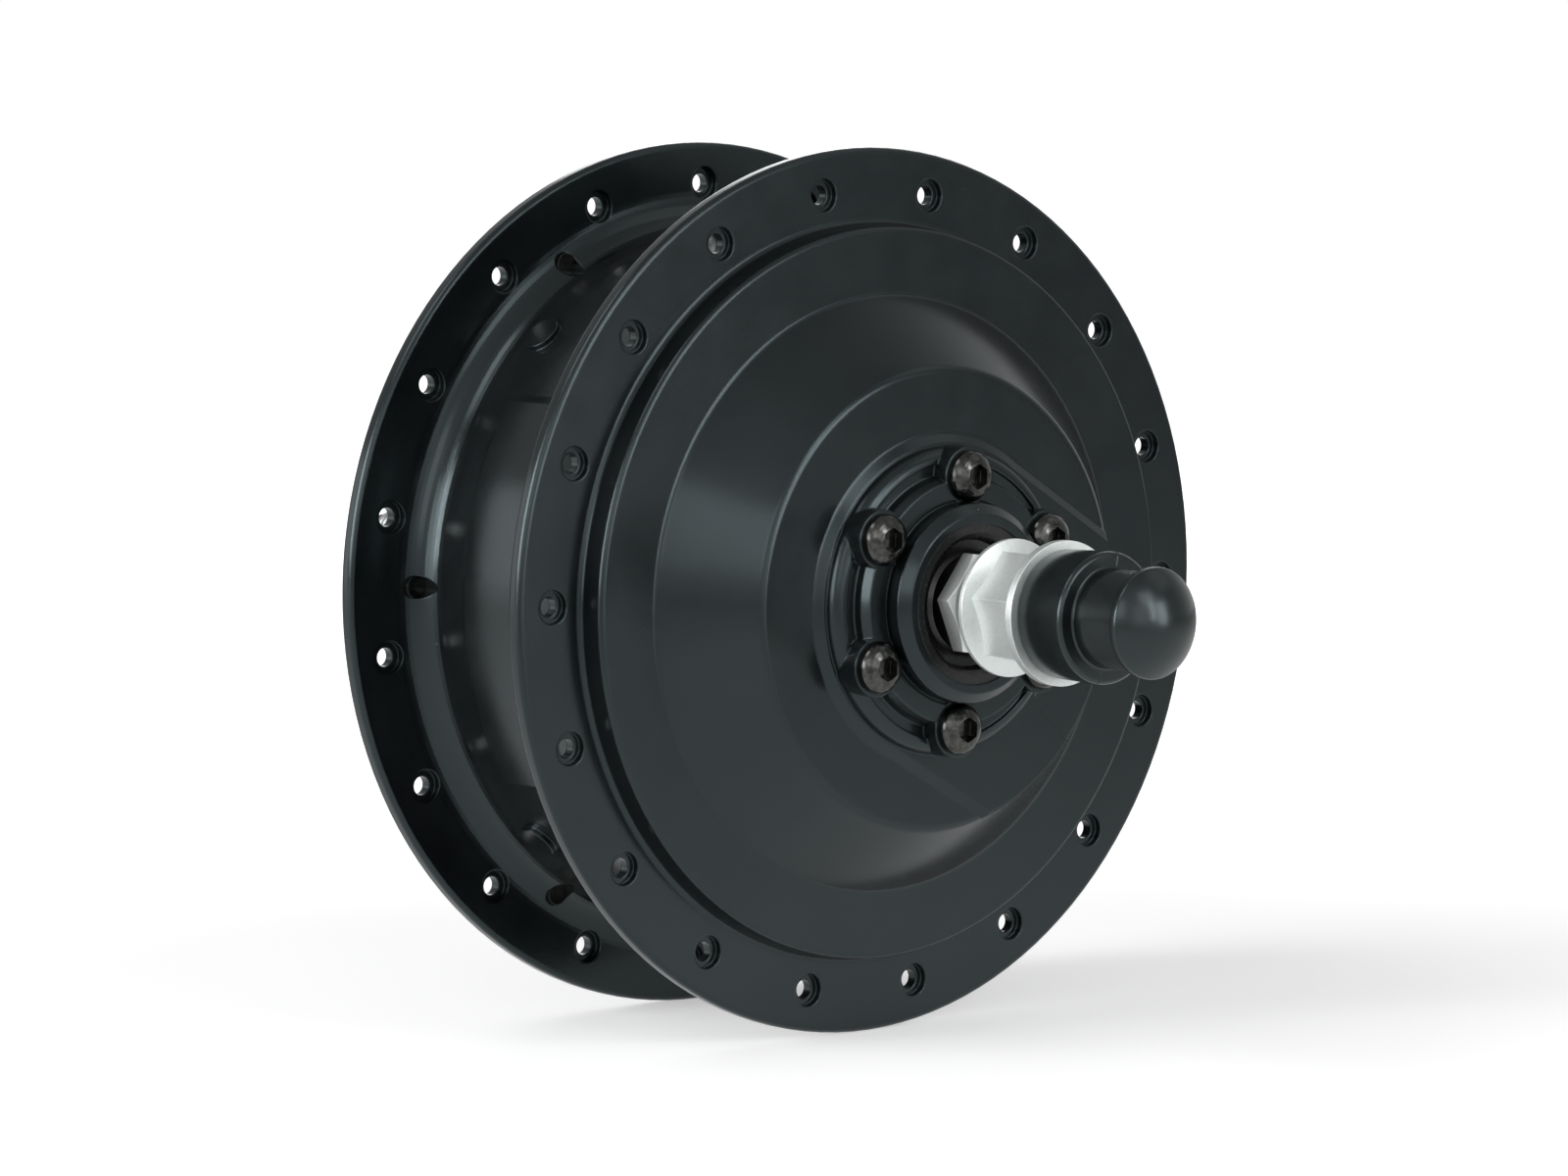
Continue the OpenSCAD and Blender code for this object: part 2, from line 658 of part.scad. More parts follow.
board_screw_d = 2.5;
module stator_carrier() color("lightgray") {
    rim_r = stator_bore_d / 2;
    web_y = (hub_y + collar_y) / 2 - 2;
    windows_r = (stator_hub_r + rim_in_r) / 2;
    difference() {
        union() {
            tube(stator_hub_r, body_r + seat_clear, hub_y, collar_y);
            tube(rim_r, rim_in_r, hub_y, collar_y);
            tube(rim_in_r + eps, stator_hub_r - eps, web_y, web_y + 4);
            along_axle() ring_of(3, rim_r - 0.1 - post_r, 0) translate([0, 0, collar_y - eps])
                cylinder(h = board_y - collar_y + eps, r = post_r);
        }
        along_axle() ring_of(6, windows_r, 0) translate([0, 0, web_y - eps])
            cylinder(h = 4 + 2 * eps, r = (rim_in_r - stator_hub_r) / 2 - 1.5);
        along_axle() ring_of(3, rim_r - 0.1 - post_r, 0) translate([0, 0, board_y - 5])
            cylinder(h = 5 + eps, d = board_screw_d + 2 * seat_clear);
        stator_key(seat_clear);
    }
}

module sensor_board() color("darkgreen") difference() {
    tube(stator_d / 2 - 0.2, stator_bore_d / 2 - 4.5, board_y, board_y + board_t);
    along_axle() ring_of(3, stator_bore_d / 2 - 0.1 - post_r, 0) translate([0, 0, board_y - eps])
        cylinder(h = board_t + 2 * eps, d = board_screw_d + 2 * seat_clear);
}

module board_screws() color("silver") along_axle() ring_of(3, stator_bore_d / 2 - 0.1 - post_r, 0)
    translate([0, 0, board_y + board_t]) screw(board_screw_d, board_t + 4, 4.4, 1.4, 1.5);

module hall_sensors() color("black") along_axle()
    for (i = [0 : 2])
        ring_of(1, stator_d / 2 - 2.6, (2 * i + 1) * 180 / slot_n) translate([0, -2, board_y - 3])
            cube([1.6, 4, 3]);

// The cast shell, open towards the drive side
module hub_shell() color("#26282b") {
    spigot_r = spigot_d / 2;
    seal_r = disc_seal_d / 2 + seat_clear;
    bearing_r = disc_bearing_d / 2 + seat_clear;
    seat_r = seat_ring_d / 2;
    pocket_r = pocket_d / 2;
    pocket_y = seat_y + pocket_h;
    rim_y = seat_y + rim_drop;
    inside_y = plateau_y + wall_t;
    boss_in_r = bearing_r + 4.5;
    difference() {
        union() {
            turned([
                [seal_r, spigot_end_y], [spigot_r - 1.8, spigot_end_y, 0.3],
                [spigot_r, spigot_end_y + 1.6, 0.3], [spigot_r, seat_y + 0.4],
                [spigot_r + 0.5, seat_y + 0.4], [spigot_r + 0.5, seat_y], [seat_r, seat_y, 0.2],
                [seat_r + 0.7, seat_y + 1.7, 0.3], [seat_r + 0.9, pocket_y, 0.3],
                [pocket_r - 0.1, pocket_y], [pocket_r, rim_y], [boss_r, rim_y, rim_round],
                [boss_r, band_y], [band_half_w, band_y, 0.3],
                [band_half_w + band_slope, plateau_y, 1.3],
                [cone_top_d / 2, plateau_y, 2], [cone_foot_r, ring_y, 1.2],
                [ring_d / 2, ring_y, 0.9], [ring_d / 2 + 0.5, disc_flange_y, 1],
                [flange_r, disc_flange_y, 1], [flange_r, disc_flange_back_y, 1],
                [drum_r, disc_flange_back_y, drum_fillet], [drum_r, drive_flange_back_y, drum_fillet],
                [flange_r, drive_flange_back_y, 1], [flange_r, drive_flange_y, 1],
                [cover_r + seat_clear, drive_flange_y], [cover_r + seat_clear, cover_seat_y],
                [drum_in_r, cover_seat_y], [drum_in_r, gear_y],
                [cone_in_r(gear_y), gear_y], [cone_in_r(inside_y), inside_y, 2],
                [boss_in_r, inside_y, 1], [boss_in_r, disc_bearing_back_y, 0.5],
                [bearing_r, disc_bearing_back_y], [bearing_r, disc_bearing_y],
                [seal_r - 1.6, disc_bearing_y], [seal_r - 1.6, disc_bearing_y - bearing_lip],
                [seal_r, disc_bearing_y - bearing_lip]
            ]);
            rotor_pads();
            raised_band();
            drum_pads();
            drum_bumps();
        }
        rotor_holes();
        spoke_holes(disc_spoke_angle, disc_flange_y, disc_flange_y + spoke_sink_h);
        spoke_holes(drive_spoke_angle, drive_flange_back_y, drive_flange_back_y + spoke_sink_h);
        cover_screw_holes(cover_seat_y - 8, cover_seat_y + eps);
        ring_screw_holes(gear_y - ring_screw_deep - 0.2, gear_y + eps);
    }
}

module rotor_pads() along_axle() ring_of(6, rotor_pcd / 2, rotor_screw_angle)
    translate([0, 0, seat_y]) cylinder(h = boss_h + eps, d = rotor_pad_d);

module rotor_holes() along_axle() ring_of(6, rotor_pcd / 2, rotor_screw_angle)
    translate([0, 0, seat_y - eps])
        cylinder(h = rotor_screw_l + 0.2 + eps, d = rotor_screw_d + 2 * seat_clear);

band_slope = 1.7;
band_flare = 0.8;

// The sector that is cut out of the raised band, with rounded inner corners
module band_recess() {
    inner = band_half_w - 0.3;
    orbit = inner + recess_corner;
    side = asin(recess_corner / orbit);
    turn = recess_half - side;
    corner = [for (i = [0 : arc_steps])
        polar(orbit, turn) + polar(recess_corner, recess_half + 90 + i / arc_steps * (90 - side))];
    bottom = [for (i = [1 : 7]) polar(inner, turn * (1 - i / 4))];
    polygon(concat(
        [polar(cone_top_d, recess_half)], corner, bottom,
        [for (i = [arc_steps : -1 : 0]) [corner[i].x, -corner[i].y]], [polar(cone_top_d, -recess_half)]
    ));
}

// A bar with bevelled sides from the middle of the boss outwards
module band_bar() {
    half_w = band_half_w - 0.15;
    translate([-eps, 0, 0]) rotate([90, 0, 90]) linear_extrude(cone_top_d / 2 + 5) polygon([
        [-half_w - band_slope, plateau_y], [-half_w, band_y],
        [half_w, band_y], [half_w + band_slope, plateau_y],
        [half_w + band_slope, plateau_y + eps], [-half_w - band_slope, plateau_y + eps]
    ]);
}

module raised_band() {
    rim = cone_top_d / 2;
    along_axle() rotate([0, 0, band_angle - 90]) difference() {
        intersection() {
            rotate([0, 0, band_flare]) band_bar();
            rotate([0, 0, -band_flare]) band_bar();
            rotate_extrude() polygon([
                [boss_r - eps, band_y], [rim - 0.6, band_y], [rim + 0.2, plateau_y],
                [rim - 1.5, plateau_y + eps], [boss_r - eps, plateau_y + eps]
            ]);
        }
        translate([0, 0, band_y - eps]) linear_extrude(band_h + eps) band_recess();
    }
}

pad_mid_y = (disc_flange_back_y + drive_flange_back_y) / 2;

// A raised pad with bevelled sides and cut corners, centred on the X axis
module drum_pad() {
    top = drum_r + pad_h;
    y = pad_mid_y - pad_w / 2;
    back_y = pad_mid_y + pad_w / 2;
    half_w = top * sin(pad_span / 2);
    bevel_turn = pad_bevel / top * 180 / PI;
    foot = polar(drum_r - 1, pad_span / 2 + bevel_turn);
    over = polar(top + 1, pad_span / 2 - 2 * bevel_turn);
    intersection() {
        rotate_extrude() polygon([
            [drum_r - 1, y - pad_bevel], [top, y + pad_bevel],
            [top, back_y - pad_bevel], [drum_r - 1, back_y + pad_bevel]
        ]);
        translate([0, 0, y - 2 * pad_bevel]) linear_extrude(pad_w + 4 * pad_bevel)
            polygon([[0, 0], foot, over, [2 * top, 0], [over.x, -over.y], [foot.x, -foot.y]]);
        rotate([90, 0, 90]) linear_extrude(2 * top) polygon([
            [-half_w, y + pad_corner], [pad_corner - half_w, y - pad_h],
            [half_w - pad_corner, y - pad_h], [half_w, y + pad_corner],
            [half_w, back_y - pad_corner], [half_w - pad_corner, back_y + pad_h],
            [pad_corner - half_w, back_y + pad_h], [-half_w, back_y - pad_corner]
        ]);
    }
}

module drum_pads() along_axle() ring_of(pad_count, 0, pad_angle) drum_pad();

module drum_bumps() along_axle() ring_of(pad_count, drum_r - 1, pad_angle + 180 / pad_count)
    translate([0, 0, pad_mid_y + pad_w / 2 + 1]) rotate([0, 90, 0]) cylinder(h = pad_h + 1, d = bump_d);

// Spoke holes through one flange, with a recess from sink_y to sink_back_y
module spoke_holes(first, sink_y, sink_back_y) along_axle() ring_of(spoke_count, spoke_pcd / 2, first) {
    translate([0, 0, sink_y - flange_t]) cylinder(h = 3 * flange_t, d = spoke_d);
    translate([0, 0, sink_y - eps]) cylinder(h = sink_back_y - sink_y + eps, d = spoke_sink_d);
}

module cover_screw_holes(y, back_y) along_axle() ring_of(6, cover_screw_pcd / 2, cover_screw_angle)
    translate([0, 0, y]) cylinder(h = back_y - y, d = cover_screw_d + 2 * seat_clear);

lip_r = drum_in_r - seat_clear;
lip_in_r = bell_r + 0.9;
lip_y = cover_seat_y - 2.5;
o_ring_r = 0.7;

// The side cover with the drive side bearing and the freewheel boss
module side_cover() color("#26282b") {
    thread_r = freewheel_d / 2;
    bearing_r = drive_bearing_d / 2 + seat_clear;
    seal_r = drive_seal_d / 2 + seat_clear;
    foot_r = cover_cone_d / 2;
    rise = shoulder_y - cover_top_y;
    difference() {
        turned([
            [lip_in_r, lip_y], [lip_r - 0.3, lip_y], [lip_r, lip_y + 0.3],
            [lip_r, lip_y + 0.6], [lip_r - 1.5, lip_y + 0.6],
            [lip_r - 1.5, lip_y + 2.1], [lip_r, lip_y + 2.1], [lip_r, cover_seat_y],
            [cover_r, cover_seat_y], [cover_r, cover_top_y, 0.8],
            [foot_r, cover_top_y, 4], [shoulder_d / 2 + 10, cover_top_y + rise * 0.42, 6],
            [shoulder_d / 2, shoulder_y - 2, 2], [shoulder_d / 2, shoulder_y, 0.5],
            [thread_r, shoulder_y], [thread_r, thread_end_y - 1], [thread_r - 1, thread_end_y],
            [seal_r, thread_end_y], [seal_r, thread_end_y - seal_l],
            [seal_r - 1.4, thread_end_y - seal_l], [seal_r - 1.4, drive_bearing_back_y],
            [bearing_r, drive_bearing_back_y], [bearing_r, drive_bearing_y],
            [bearing_r + 4, drive_bearing_y, 0.5], [bearing_r + 4, cover_top_y + 1.4, 1],
            [shoulder_d / 2 + 11, cover_top_y + 1.2, 4],
            [lip_in_r - 3, cover_top_y - 3.4, 3], [lip_in_r, cover_top_y - 3.4]
        ]);
        cover_screw_holes(cover_seat_y - eps, cover_top_y + eps);
    }
}

module cover_o_ring() color("black") along_axle() rotate_extrude()
    translate([lip_r - o_ring_r - 0.05, lip_y + 1.35]) circle(r = o_ring_r);

module cover_screws() color("#2b2723") along_axle() ring_of(6, cover_screw_pcd / 2, cover_screw_angle)
    translate([0, 0, cover_top_y]) screw(cover_screw_d, cover_screw_l, cover_head_d, 2.2, 2.5, 1);

module rotor_screws() color("#2b2723") along_axle() ring_of(6, rotor_pcd / 2, rotor_screw_angle)
    translate([0, 0, seat_y]) mirror([0, 0, 1])
        screw(rotor_screw_d, rotor_screw_l, rotor_head_d, rotor_head_h, rotor_socket_af, 1);

module disc_seal() color("black") along_axle() translate([0, 0, spigot_end_y])
    lip_seal(disc_seal_d / 2, sleeve_d / 2, seal_l);

module drive_seal() color("black") along_axle() translate([0, 0, thread_end_y]) mirror([0, 0, 1])
    lip_seal(drive_seal_d / 2, body_r, seal_l);

ring_screw_deep = wall_t;
ring_screw_orbit = (ring_rim_d / 2 + drum_in_r) / 2 + 0.2;
module ring_screw_holes(y, back_y) along_axle() ring_of(6, ring_screw_orbit, 30)
    translate([0, 0, y]) cylinder(h = back_y - y, d = small_screw_d + 2 * seat_clear);

// The internal gear, screwed to the inside of the shell
module ring_gear() color("dimgray") {
    out_r = drum_in_r - seat_clear;
    turn = planet_n % 2 == 0 ? 180 / ring_n : 0;
    difference() {
        turned([
            [ring_r - 3, gear_y], [out_r, gear_y], [out_r, gear_y + ring_flange_t],
            [ring_rim_d / 2, gear_y + ring_flange_t, 1], [ring_rim_d / 2, gear_back_y, 0.5],
            [ring_r - 3, gear_back_y]
        ]);
        along_axle() rotate([0, 0, turn - 90]) translate([0, 0, gear_y - eps])
            linear_extrude(gear_w + 2 * eps) polygon(inner_gear(ring_n));
        ring_screw_holes(gear_y - eps, gear_y + ring_flange_t + eps);
    }
}

module ring_screws() color("silver") along_axle() ring_of(6, ring_screw_orbit, 30)
    translate([0, 0, gear_y + ring_flange_t])
        screw(small_screw_d, ring_flange_t + ring_screw_deep, 5.4, 2, 2);

disc_bearing_r = disc_bearing_d / 2;
drive_bearing_r = drive_bearing_d / 2;
rotor_bearing_r = rotor_bearing_d / 2;
planet_bearing_r = planet_bearing_d / 2;
drive_axle_r = body_r + seat_clear;
planet_pin_r = planet_pin_d / 2;

module disc_bearing_inner() color("silver")
    bearing_ring(axle_bore_r, disc_bearing_r, disc_bearing_y, disc_bearing_w, true);
module disc_bearing_outer() color("silver")
    bearing_ring(axle_bore_r, disc_bearing_r, disc_bearing_y, disc_bearing_w, false);
module disc_bearing_balls() color("white")
    bearing_balls(axle_bore_r, disc_bearing_r, disc_bearing_y, disc_bearing_w, 7);

module drive_bearing_inner() color("silver")
    bearing_ring(drive_axle_r, drive_bearing_r, drive_bearing_y, drive_bearing_w, true);
module drive_bearing_outer() color("silver")
    bearing_ring(drive_axle_r, drive_bearing_r, drive_bearing_y, drive_bearing_w, false);
module drive_bearing_balls() color("white")
    bearing_balls(drive_axle_r, drive_bearing_r, drive_bearing_y, drive_bearing_w, 10);

module rotor_bearing_inner() color("silver")
    bearing_ring(axle_bore_r, rotor_bearing_r, rotor_hub_y, rotor_bearing_w, true);
module rotor_bearing_outer() color("silver")
    bearing_ring(axle_bore_r, rotor_bearing_r, rotor_hub_y, rotor_bearing_w, false);
module rotor_bearing_balls() color("white")
    bearing_balls(axle_bore_r, rotor_bearing_r, rotor_hub_y, rotor_bearing_w, 8);

// The bell of the outer rotor, with vent holes in its web
module rotor_bell() color("darkgray") {
    hub_r = rotor_bearing_r + seat_clear;
    in_r = magnet_out_r + seat_clear;
    web_back_y = rotor_hub_y + web_t;
    end_y = winding_back_y;
    difference() {
        turned([
            [hub_r, rotor_hub_y], [bell_r, rotor_hub_y, 2], [bell_r, end_y, 0.5],
            [in_r, end_y], [in_r, web_back_y, 1], [sun_flange_r, web_back_y, 1],
            [sun_flange_r, body_start_y + 1], [hub_r - 2, body_start_y + 1],
            [hub_r - 2, body_start_y], [hub_r, body_start_y]
        ]);
        along_axle() ring_of(6, (sun_flange_r + in_r) / 2, 0) translate([0, 0, rotor_hub_y - eps])
            cylinder(h = web_t + 2 * eps, r = 6);
        sun_screw_holes(rotor_hub_y - eps, rotor_hub_y + 5);
    }
}

module rotor_magnets() color("lightsteelblue") difference() {
    tube(magnet_out_r, magnet_out_r - magnet_t, stator_y - 0.5, winding_back_y - 0.5);
    along_axle() ring_of(magnet_n, magnet_out_r - 2 * magnet_t, 0)
        translate([0, -0.7, stator_y - 2]) cube([4 * magnet_t, 1.4, stator_l + 2 * overhang]);
}

module sun_screw_holes(y, back_y) along_axle() ring_of(6, sun_screw_r, 0)
    translate([0, 0, y]) cylinder(h = back_y - y, d = small_screw_d + 2 * seat_clear);

sun_head_d = 5.2;
sun_head_h = 1.6;
module sun_gear() color("silver") difference() {
    union() {
        along_axle() rotate([0, 0, -90]) translate([0, 0, gear_y])
            linear_extrude(gear_w) polygon(outer_gear(sun_n));
        rod(sun_r - dedendum, gear_y, rotor_hub_y);
        rod(sun_flange_r, sun_flange_y, rotor_hub_y);
    }
    rod(sun_bore_r, gear_y - eps, rotor_hub_y + eps);
    rod(axle_r + 4, rotor_hub_y - circlip_t - 0.3, rotor_hub_y + eps);
    sun_screw_holes(sun_flange_y - eps, rotor_hub_y + eps);
    along_axle() ring_of(6, sun_screw_r, 0) translate([0, 0, sun_flange_y - eps])
        cylinder(h = sun_head_h + 0.05 + eps, d = sun_head_d + 0.1);
}

module sun_screws() color("dimgray") along_axle() ring_of(6, sun_screw_r, 0)
    translate([0, 0, sun_flange_y + sun_head_h + 0.05]) mirror([0, 0, 1])
        screw(small_screw_d, 5, sun_head_d, sun_head_h, 2);

// The one-way clutch that holds the planet carrier when the motor drives
module clutch_inner() color("gray") difference() {
    turned([
        [axle_bore_r, disc_bearing_back_y], [axle_r + 2.5, disc_bearing_back_y],
        [axle_r + 2.5, race_y], [race_d / 2, race_y], [race_d / 2, race_back_y],
        [axle_bore_r, race_back_y]
    ]);
    clutch_key(seat_clear);
}

roller_y = race_y + 3;
roller_back_y = race_back_y - 0.4;
clutch_back_y = carrier_back_y - 0.2;
module clutch_outer() color("gray") {
    ramp_r = roller_d / 2 + 1.6;
    ramp_orbit = roller_orbit + roller_d / 2 + 0.35 - ramp_r;
    difference() {
        turned([
            [bush_r + seat_clear, race_y], [clutch_r, race_y, 0.5], [clutch_r, carrier_y - 2.4],
            [clutch_r + 5.6, carrier_y - 2.4, 0.4], [clutch_r + 5.6, carrier_y],
            [clutch_r, carrier_y], [clutch_r, clutch_back_y], [bush_r + seat_clear, clutch_back_y]
        ]);
        along_axle() ring_of(roller_n, ramp_orbit, 4) translate([0, 0, roller_y - 0.1])
            cylinder(h = clutch_back_y - roller_y + eps, r = ramp_r);
        carrier_screw_holes(carrier_y - 3, carrier_y + eps);
    }
}

module clutch_rollers() color("white") along_axle() ring_of(roller_n, roller_orbit, 0)
    translate([0, 0, roller_y]) cylinder(h = roller_back_y - roller_y, d = roller_d);

module clutch_bush() color("darkgoldenrod")
    tube(bush_r, race_d / 2 + run_clear, race_y + 0.1, roller_y - 0.2);

module carrier_screw_holes(y, back_y) along_axle() ring_of(6, carrier_screw_r, 30)
    translate([0, 0, y]) cylinder(h = back_y - y, d = small_screw_d + 2 * seat_clear);

module planet_carrier() color("lightgray") difference() {
    turned([
        [clutch_r + seat_clear, carrier_y], [carrier_r, carrier_y, 1],
        [carrier_r, carrier_back_y, 1], [clutch_r + seat_clear, carrier_back_y]
    ]);
    along_axle() ring_of(3, planet_orbit, 0) translate([0, 0, carrier_y - eps])
        cylinder(h = carrier_t + 2 * eps, r = planet_pin_r + seat_clear);
    along_axle() ring_of(6, planet_orbit + 3.5, 30) translate([0, 0, carrier_y - eps])
        cylinder(h = carrier_t + 2 * eps, r = 3);
    carrier_screw_holes(carrier_y - eps, carrier_back_y + eps);
}

module carrier_screws() color("silver") along_axle() ring_of(6, carrier_screw_r, 30)
    translate([0, 0, carrier_y - 2.4]) mirror([0, 0, 1])
        screw(small_screw_d, 2.4 + carrier_t - 0.6, 5.2, 2, 2);

pin_clip_y = planet_bearing_y + planet_bearing_w;
pin_clip_t = 0.8;
module planet_pins() color("silver") along_axle() ring_of(3, planet_orbit, 0) rotate_extrude() polygon([
    [0, carrier_y], [planet_pin_r, carrier_y], [planet_pin_r, carrier_back_y],
    [planet_pin_r + 1.5, carrier_back_y], [planet_pin_r + 1.5, planet_bearing_y],
    [planet_pin_r, planet_bearing_y], [planet_pin_r, pin_clip_y], [planet_pin_r - 0.5, pin_clip_y],
    [planet_pin_r - 0.5, pin_clip_y + pin_clip_t], [planet_pin_r, pin_clip_y + pin_clip_t],
    [planet_pin_r, pin_clip_y + pin_clip_t + 0.6], [0, pin_clip_y + pin_clip_t + 0.6]
]);

module pin_circlips() color("dimgray") along_axle() ring_of(3, planet_orbit, 0)
    translate([0, 0, pin_clip_y + seat_clear]) difference() {
        cylinder(h = pin_clip_t - 2 * seat_clear, r = planet_pin_r + 1.2);
        translate([0, 0, -eps]) cylinder(h = pin_clip_t + 2 * eps, r = planet_pin_r - 0.5 + seat_clear);
        translate([0, -1, -eps]) cube([2 * planet_pin_r, 2, pin_clip_t + 2 * eps]);
    }

module at_planet(i) along_axle() rotate([0, 0, (i - 1) * 120 - 90])
    translate([planet_orbit, 0, 0]) children();
module bearing_seat(inner) {
    in_r = planet_pin_r + seat_clear;
    mid = (in_r + planet_bearing_r) / 2;
    ball = ball_r(in_r, planet_bearing_r);
    from = inner ? in_r : mid + ball / 2;
    to = inner ? mid - ball / 2 : planet_bearing_r;
    rotate_extrude() difference() {
        translate([from, planet_bearing_y]) square([to - from, planet_bearing_w]);
        translate([mid, planet_bearing_y + planet_bearing_w / 2]) circle(r = ball + run_clear);
    }
}

module planet_bearing_inner() color("silver") for (i = [1 : 3]) at_planet(i) bearing_seat(true);

module planet_bearing_outer(i) color("silver") at_planet(i) bearing_seat(false);

module planet_bearing_balls(i) color("white") {
    in_r = planet_pin_r + seat_clear;
    at_planet(i) ring_of(7, (in_r + planet_bearing_r) / 2)
        translate([0, 0, planet_bearing_y + planet_bearing_w / 2]) sphere(r = ball_r(in_r, planet_bearing_r));
}

// A planet gear with a tooth gap towards the sun gear
module planet_gear(i) color("ivory") at_planet(i) difference() {
    translate([0, 0, gear_y]) rotate([0, 0, 180 / planet_n]) linear_extrude(gear_w)
        polygon(outer_gear(planet_n));
    translate([0, 0, planet_bearing_y]) cylinder(h = gear_w, r = planet_bearing_r + seat_clear);
    translate([0, 0, gear_y - eps]) cylinder(h = gear_w, r = planet_bearing_r - 1.4);
    for (y = [gear_y - eps, gear_back_y - eps])
        translate([0, 0, y]) difference() {
            cylinder(h = 2 * eps, r = planet_r - dedendum - 1.4);
            translate([0, 0, -eps]) cylinder(h = 4 * eps, r = planet_bearing_r + 1.6);
        }
}

module planet_gear_1() planet_gear(1);
module planet_gear_2() planet_gear(2);
module planet_gear_3() planet_gear(3);
module planet_bearing_outer_1() planet_bearing_outer(1);
module planet_bearing_outer_2() planet_bearing_outer(2);
module planet_bearing_outer_3() planet_bearing_outer(3);
module planet_bearing_balls_1() planet_bearing_balls(1);
module planet_bearing_balls_2() planet_bearing_balls(2);
module planet_bearing_balls_3() planet_bearing_balls(3);

axle();
disc_lock_nut();
disc_sleeve();
disc_axle_nut();
disc_washer();
axle_cap();
drive_lock_nut();
drive_sleeve();
drive_axle_nut();
drive_washer();
cable_grommet();
axle_keys();
axle_circlips();
stator_core();
stator_windings();
stator_carrier();
sensor_board();
hall_sensors();
board_screws();
hub_shell();
side_cover();
cover_o_ring();
cover_screws();
rotor_screws();
disc_seal();
drive_seal();
ring_gear();
ring_screws();
disc_bearing_inner();
disc_bearing_outer();
disc_bearing_balls();
drive_bearing_inner();
drive_bearing_outer();
drive_bearing_balls();
rotor_bell();
rotor_magnets();
sun_gear();
sun_screws();
rotor_bearing_inner();
rotor_bearing_outer();
rotor_bearing_balls();
clutch_inner();
clutch_outer();
clutch_rollers();
clutch_bush();
planet_carrier();
carrier_screws();
planet_pins();
pin_circlips();
planet_bearing_inner();
planet_gear_1();
planet_gear_2();
planet_gear_3();
planet_bearing_outer_1();
planet_bearing_outer_2();
planet_bearing_outer_3();
planet_bearing_balls_1();
planet_bearing_balls_2();
planet_bearing_balls_3();
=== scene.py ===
"""Looks of a geared rear hub motor: finishes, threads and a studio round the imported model."""

import json
import math

import bpy
from mathutils import Matrix, Vector


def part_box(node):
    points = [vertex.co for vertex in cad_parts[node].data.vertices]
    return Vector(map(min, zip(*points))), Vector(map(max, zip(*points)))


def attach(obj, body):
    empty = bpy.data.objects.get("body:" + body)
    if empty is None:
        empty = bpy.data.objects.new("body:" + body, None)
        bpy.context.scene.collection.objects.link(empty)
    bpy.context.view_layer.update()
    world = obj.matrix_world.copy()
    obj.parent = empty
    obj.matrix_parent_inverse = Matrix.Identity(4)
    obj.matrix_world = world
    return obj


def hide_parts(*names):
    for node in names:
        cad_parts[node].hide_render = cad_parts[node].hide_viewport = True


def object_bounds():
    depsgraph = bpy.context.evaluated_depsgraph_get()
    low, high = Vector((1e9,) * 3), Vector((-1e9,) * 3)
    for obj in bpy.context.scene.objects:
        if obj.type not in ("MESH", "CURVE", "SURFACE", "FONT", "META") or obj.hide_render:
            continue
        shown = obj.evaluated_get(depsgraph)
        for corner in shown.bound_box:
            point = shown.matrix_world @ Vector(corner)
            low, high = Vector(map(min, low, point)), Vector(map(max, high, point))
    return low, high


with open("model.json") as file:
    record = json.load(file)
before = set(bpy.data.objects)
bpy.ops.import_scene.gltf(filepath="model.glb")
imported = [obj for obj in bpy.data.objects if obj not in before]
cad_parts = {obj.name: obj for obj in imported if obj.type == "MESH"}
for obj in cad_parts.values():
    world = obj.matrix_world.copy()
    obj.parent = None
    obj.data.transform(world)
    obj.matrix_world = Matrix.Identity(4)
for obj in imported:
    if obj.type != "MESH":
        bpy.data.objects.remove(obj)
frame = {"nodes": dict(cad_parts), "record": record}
cad_box = [list(corner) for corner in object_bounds()]
nodes = frame["nodes"]

MM = 0.001


# Shader building blocks


class Shading:
    """The node tree of a material or a world, with short ways to add to it."""

    def __init__(self, owner):
        owner.use_nodes = True
        self.tree = owner.node_tree
        self.tree.nodes.clear()

    def add(self, kind, **properties):
        node = self.tree.nodes.new(kind)
        for key, value in properties.items():
            setattr(node, key, value)
        return node

    def link(self, source, target):
        self.tree.links.new(source, target)

    def calc(self, operation, *values):
        """The result of a math node on values that are numbers or sockets."""
        node = self.add("ShaderNodeMath", operation=operation)
        for socket, value in zip(node.inputs, values):
            if isinstance(value, (int, float)):
                socket.default_value = value
            else:
                self.link(value, socket)
        return node.outputs["Value"]

    def ray_kinds(self):
        """Two sockets: 1 for rays from the camera, and 1 for mirrored and transmitted rays."""
        path = self.add("ShaderNodeLightPath").outputs
        mirrored = self.calc("MAXIMUM", path["Is Glossy Ray"], path["Is Transmission Ray"])
        return path["Is Camera Ray"], mirrored


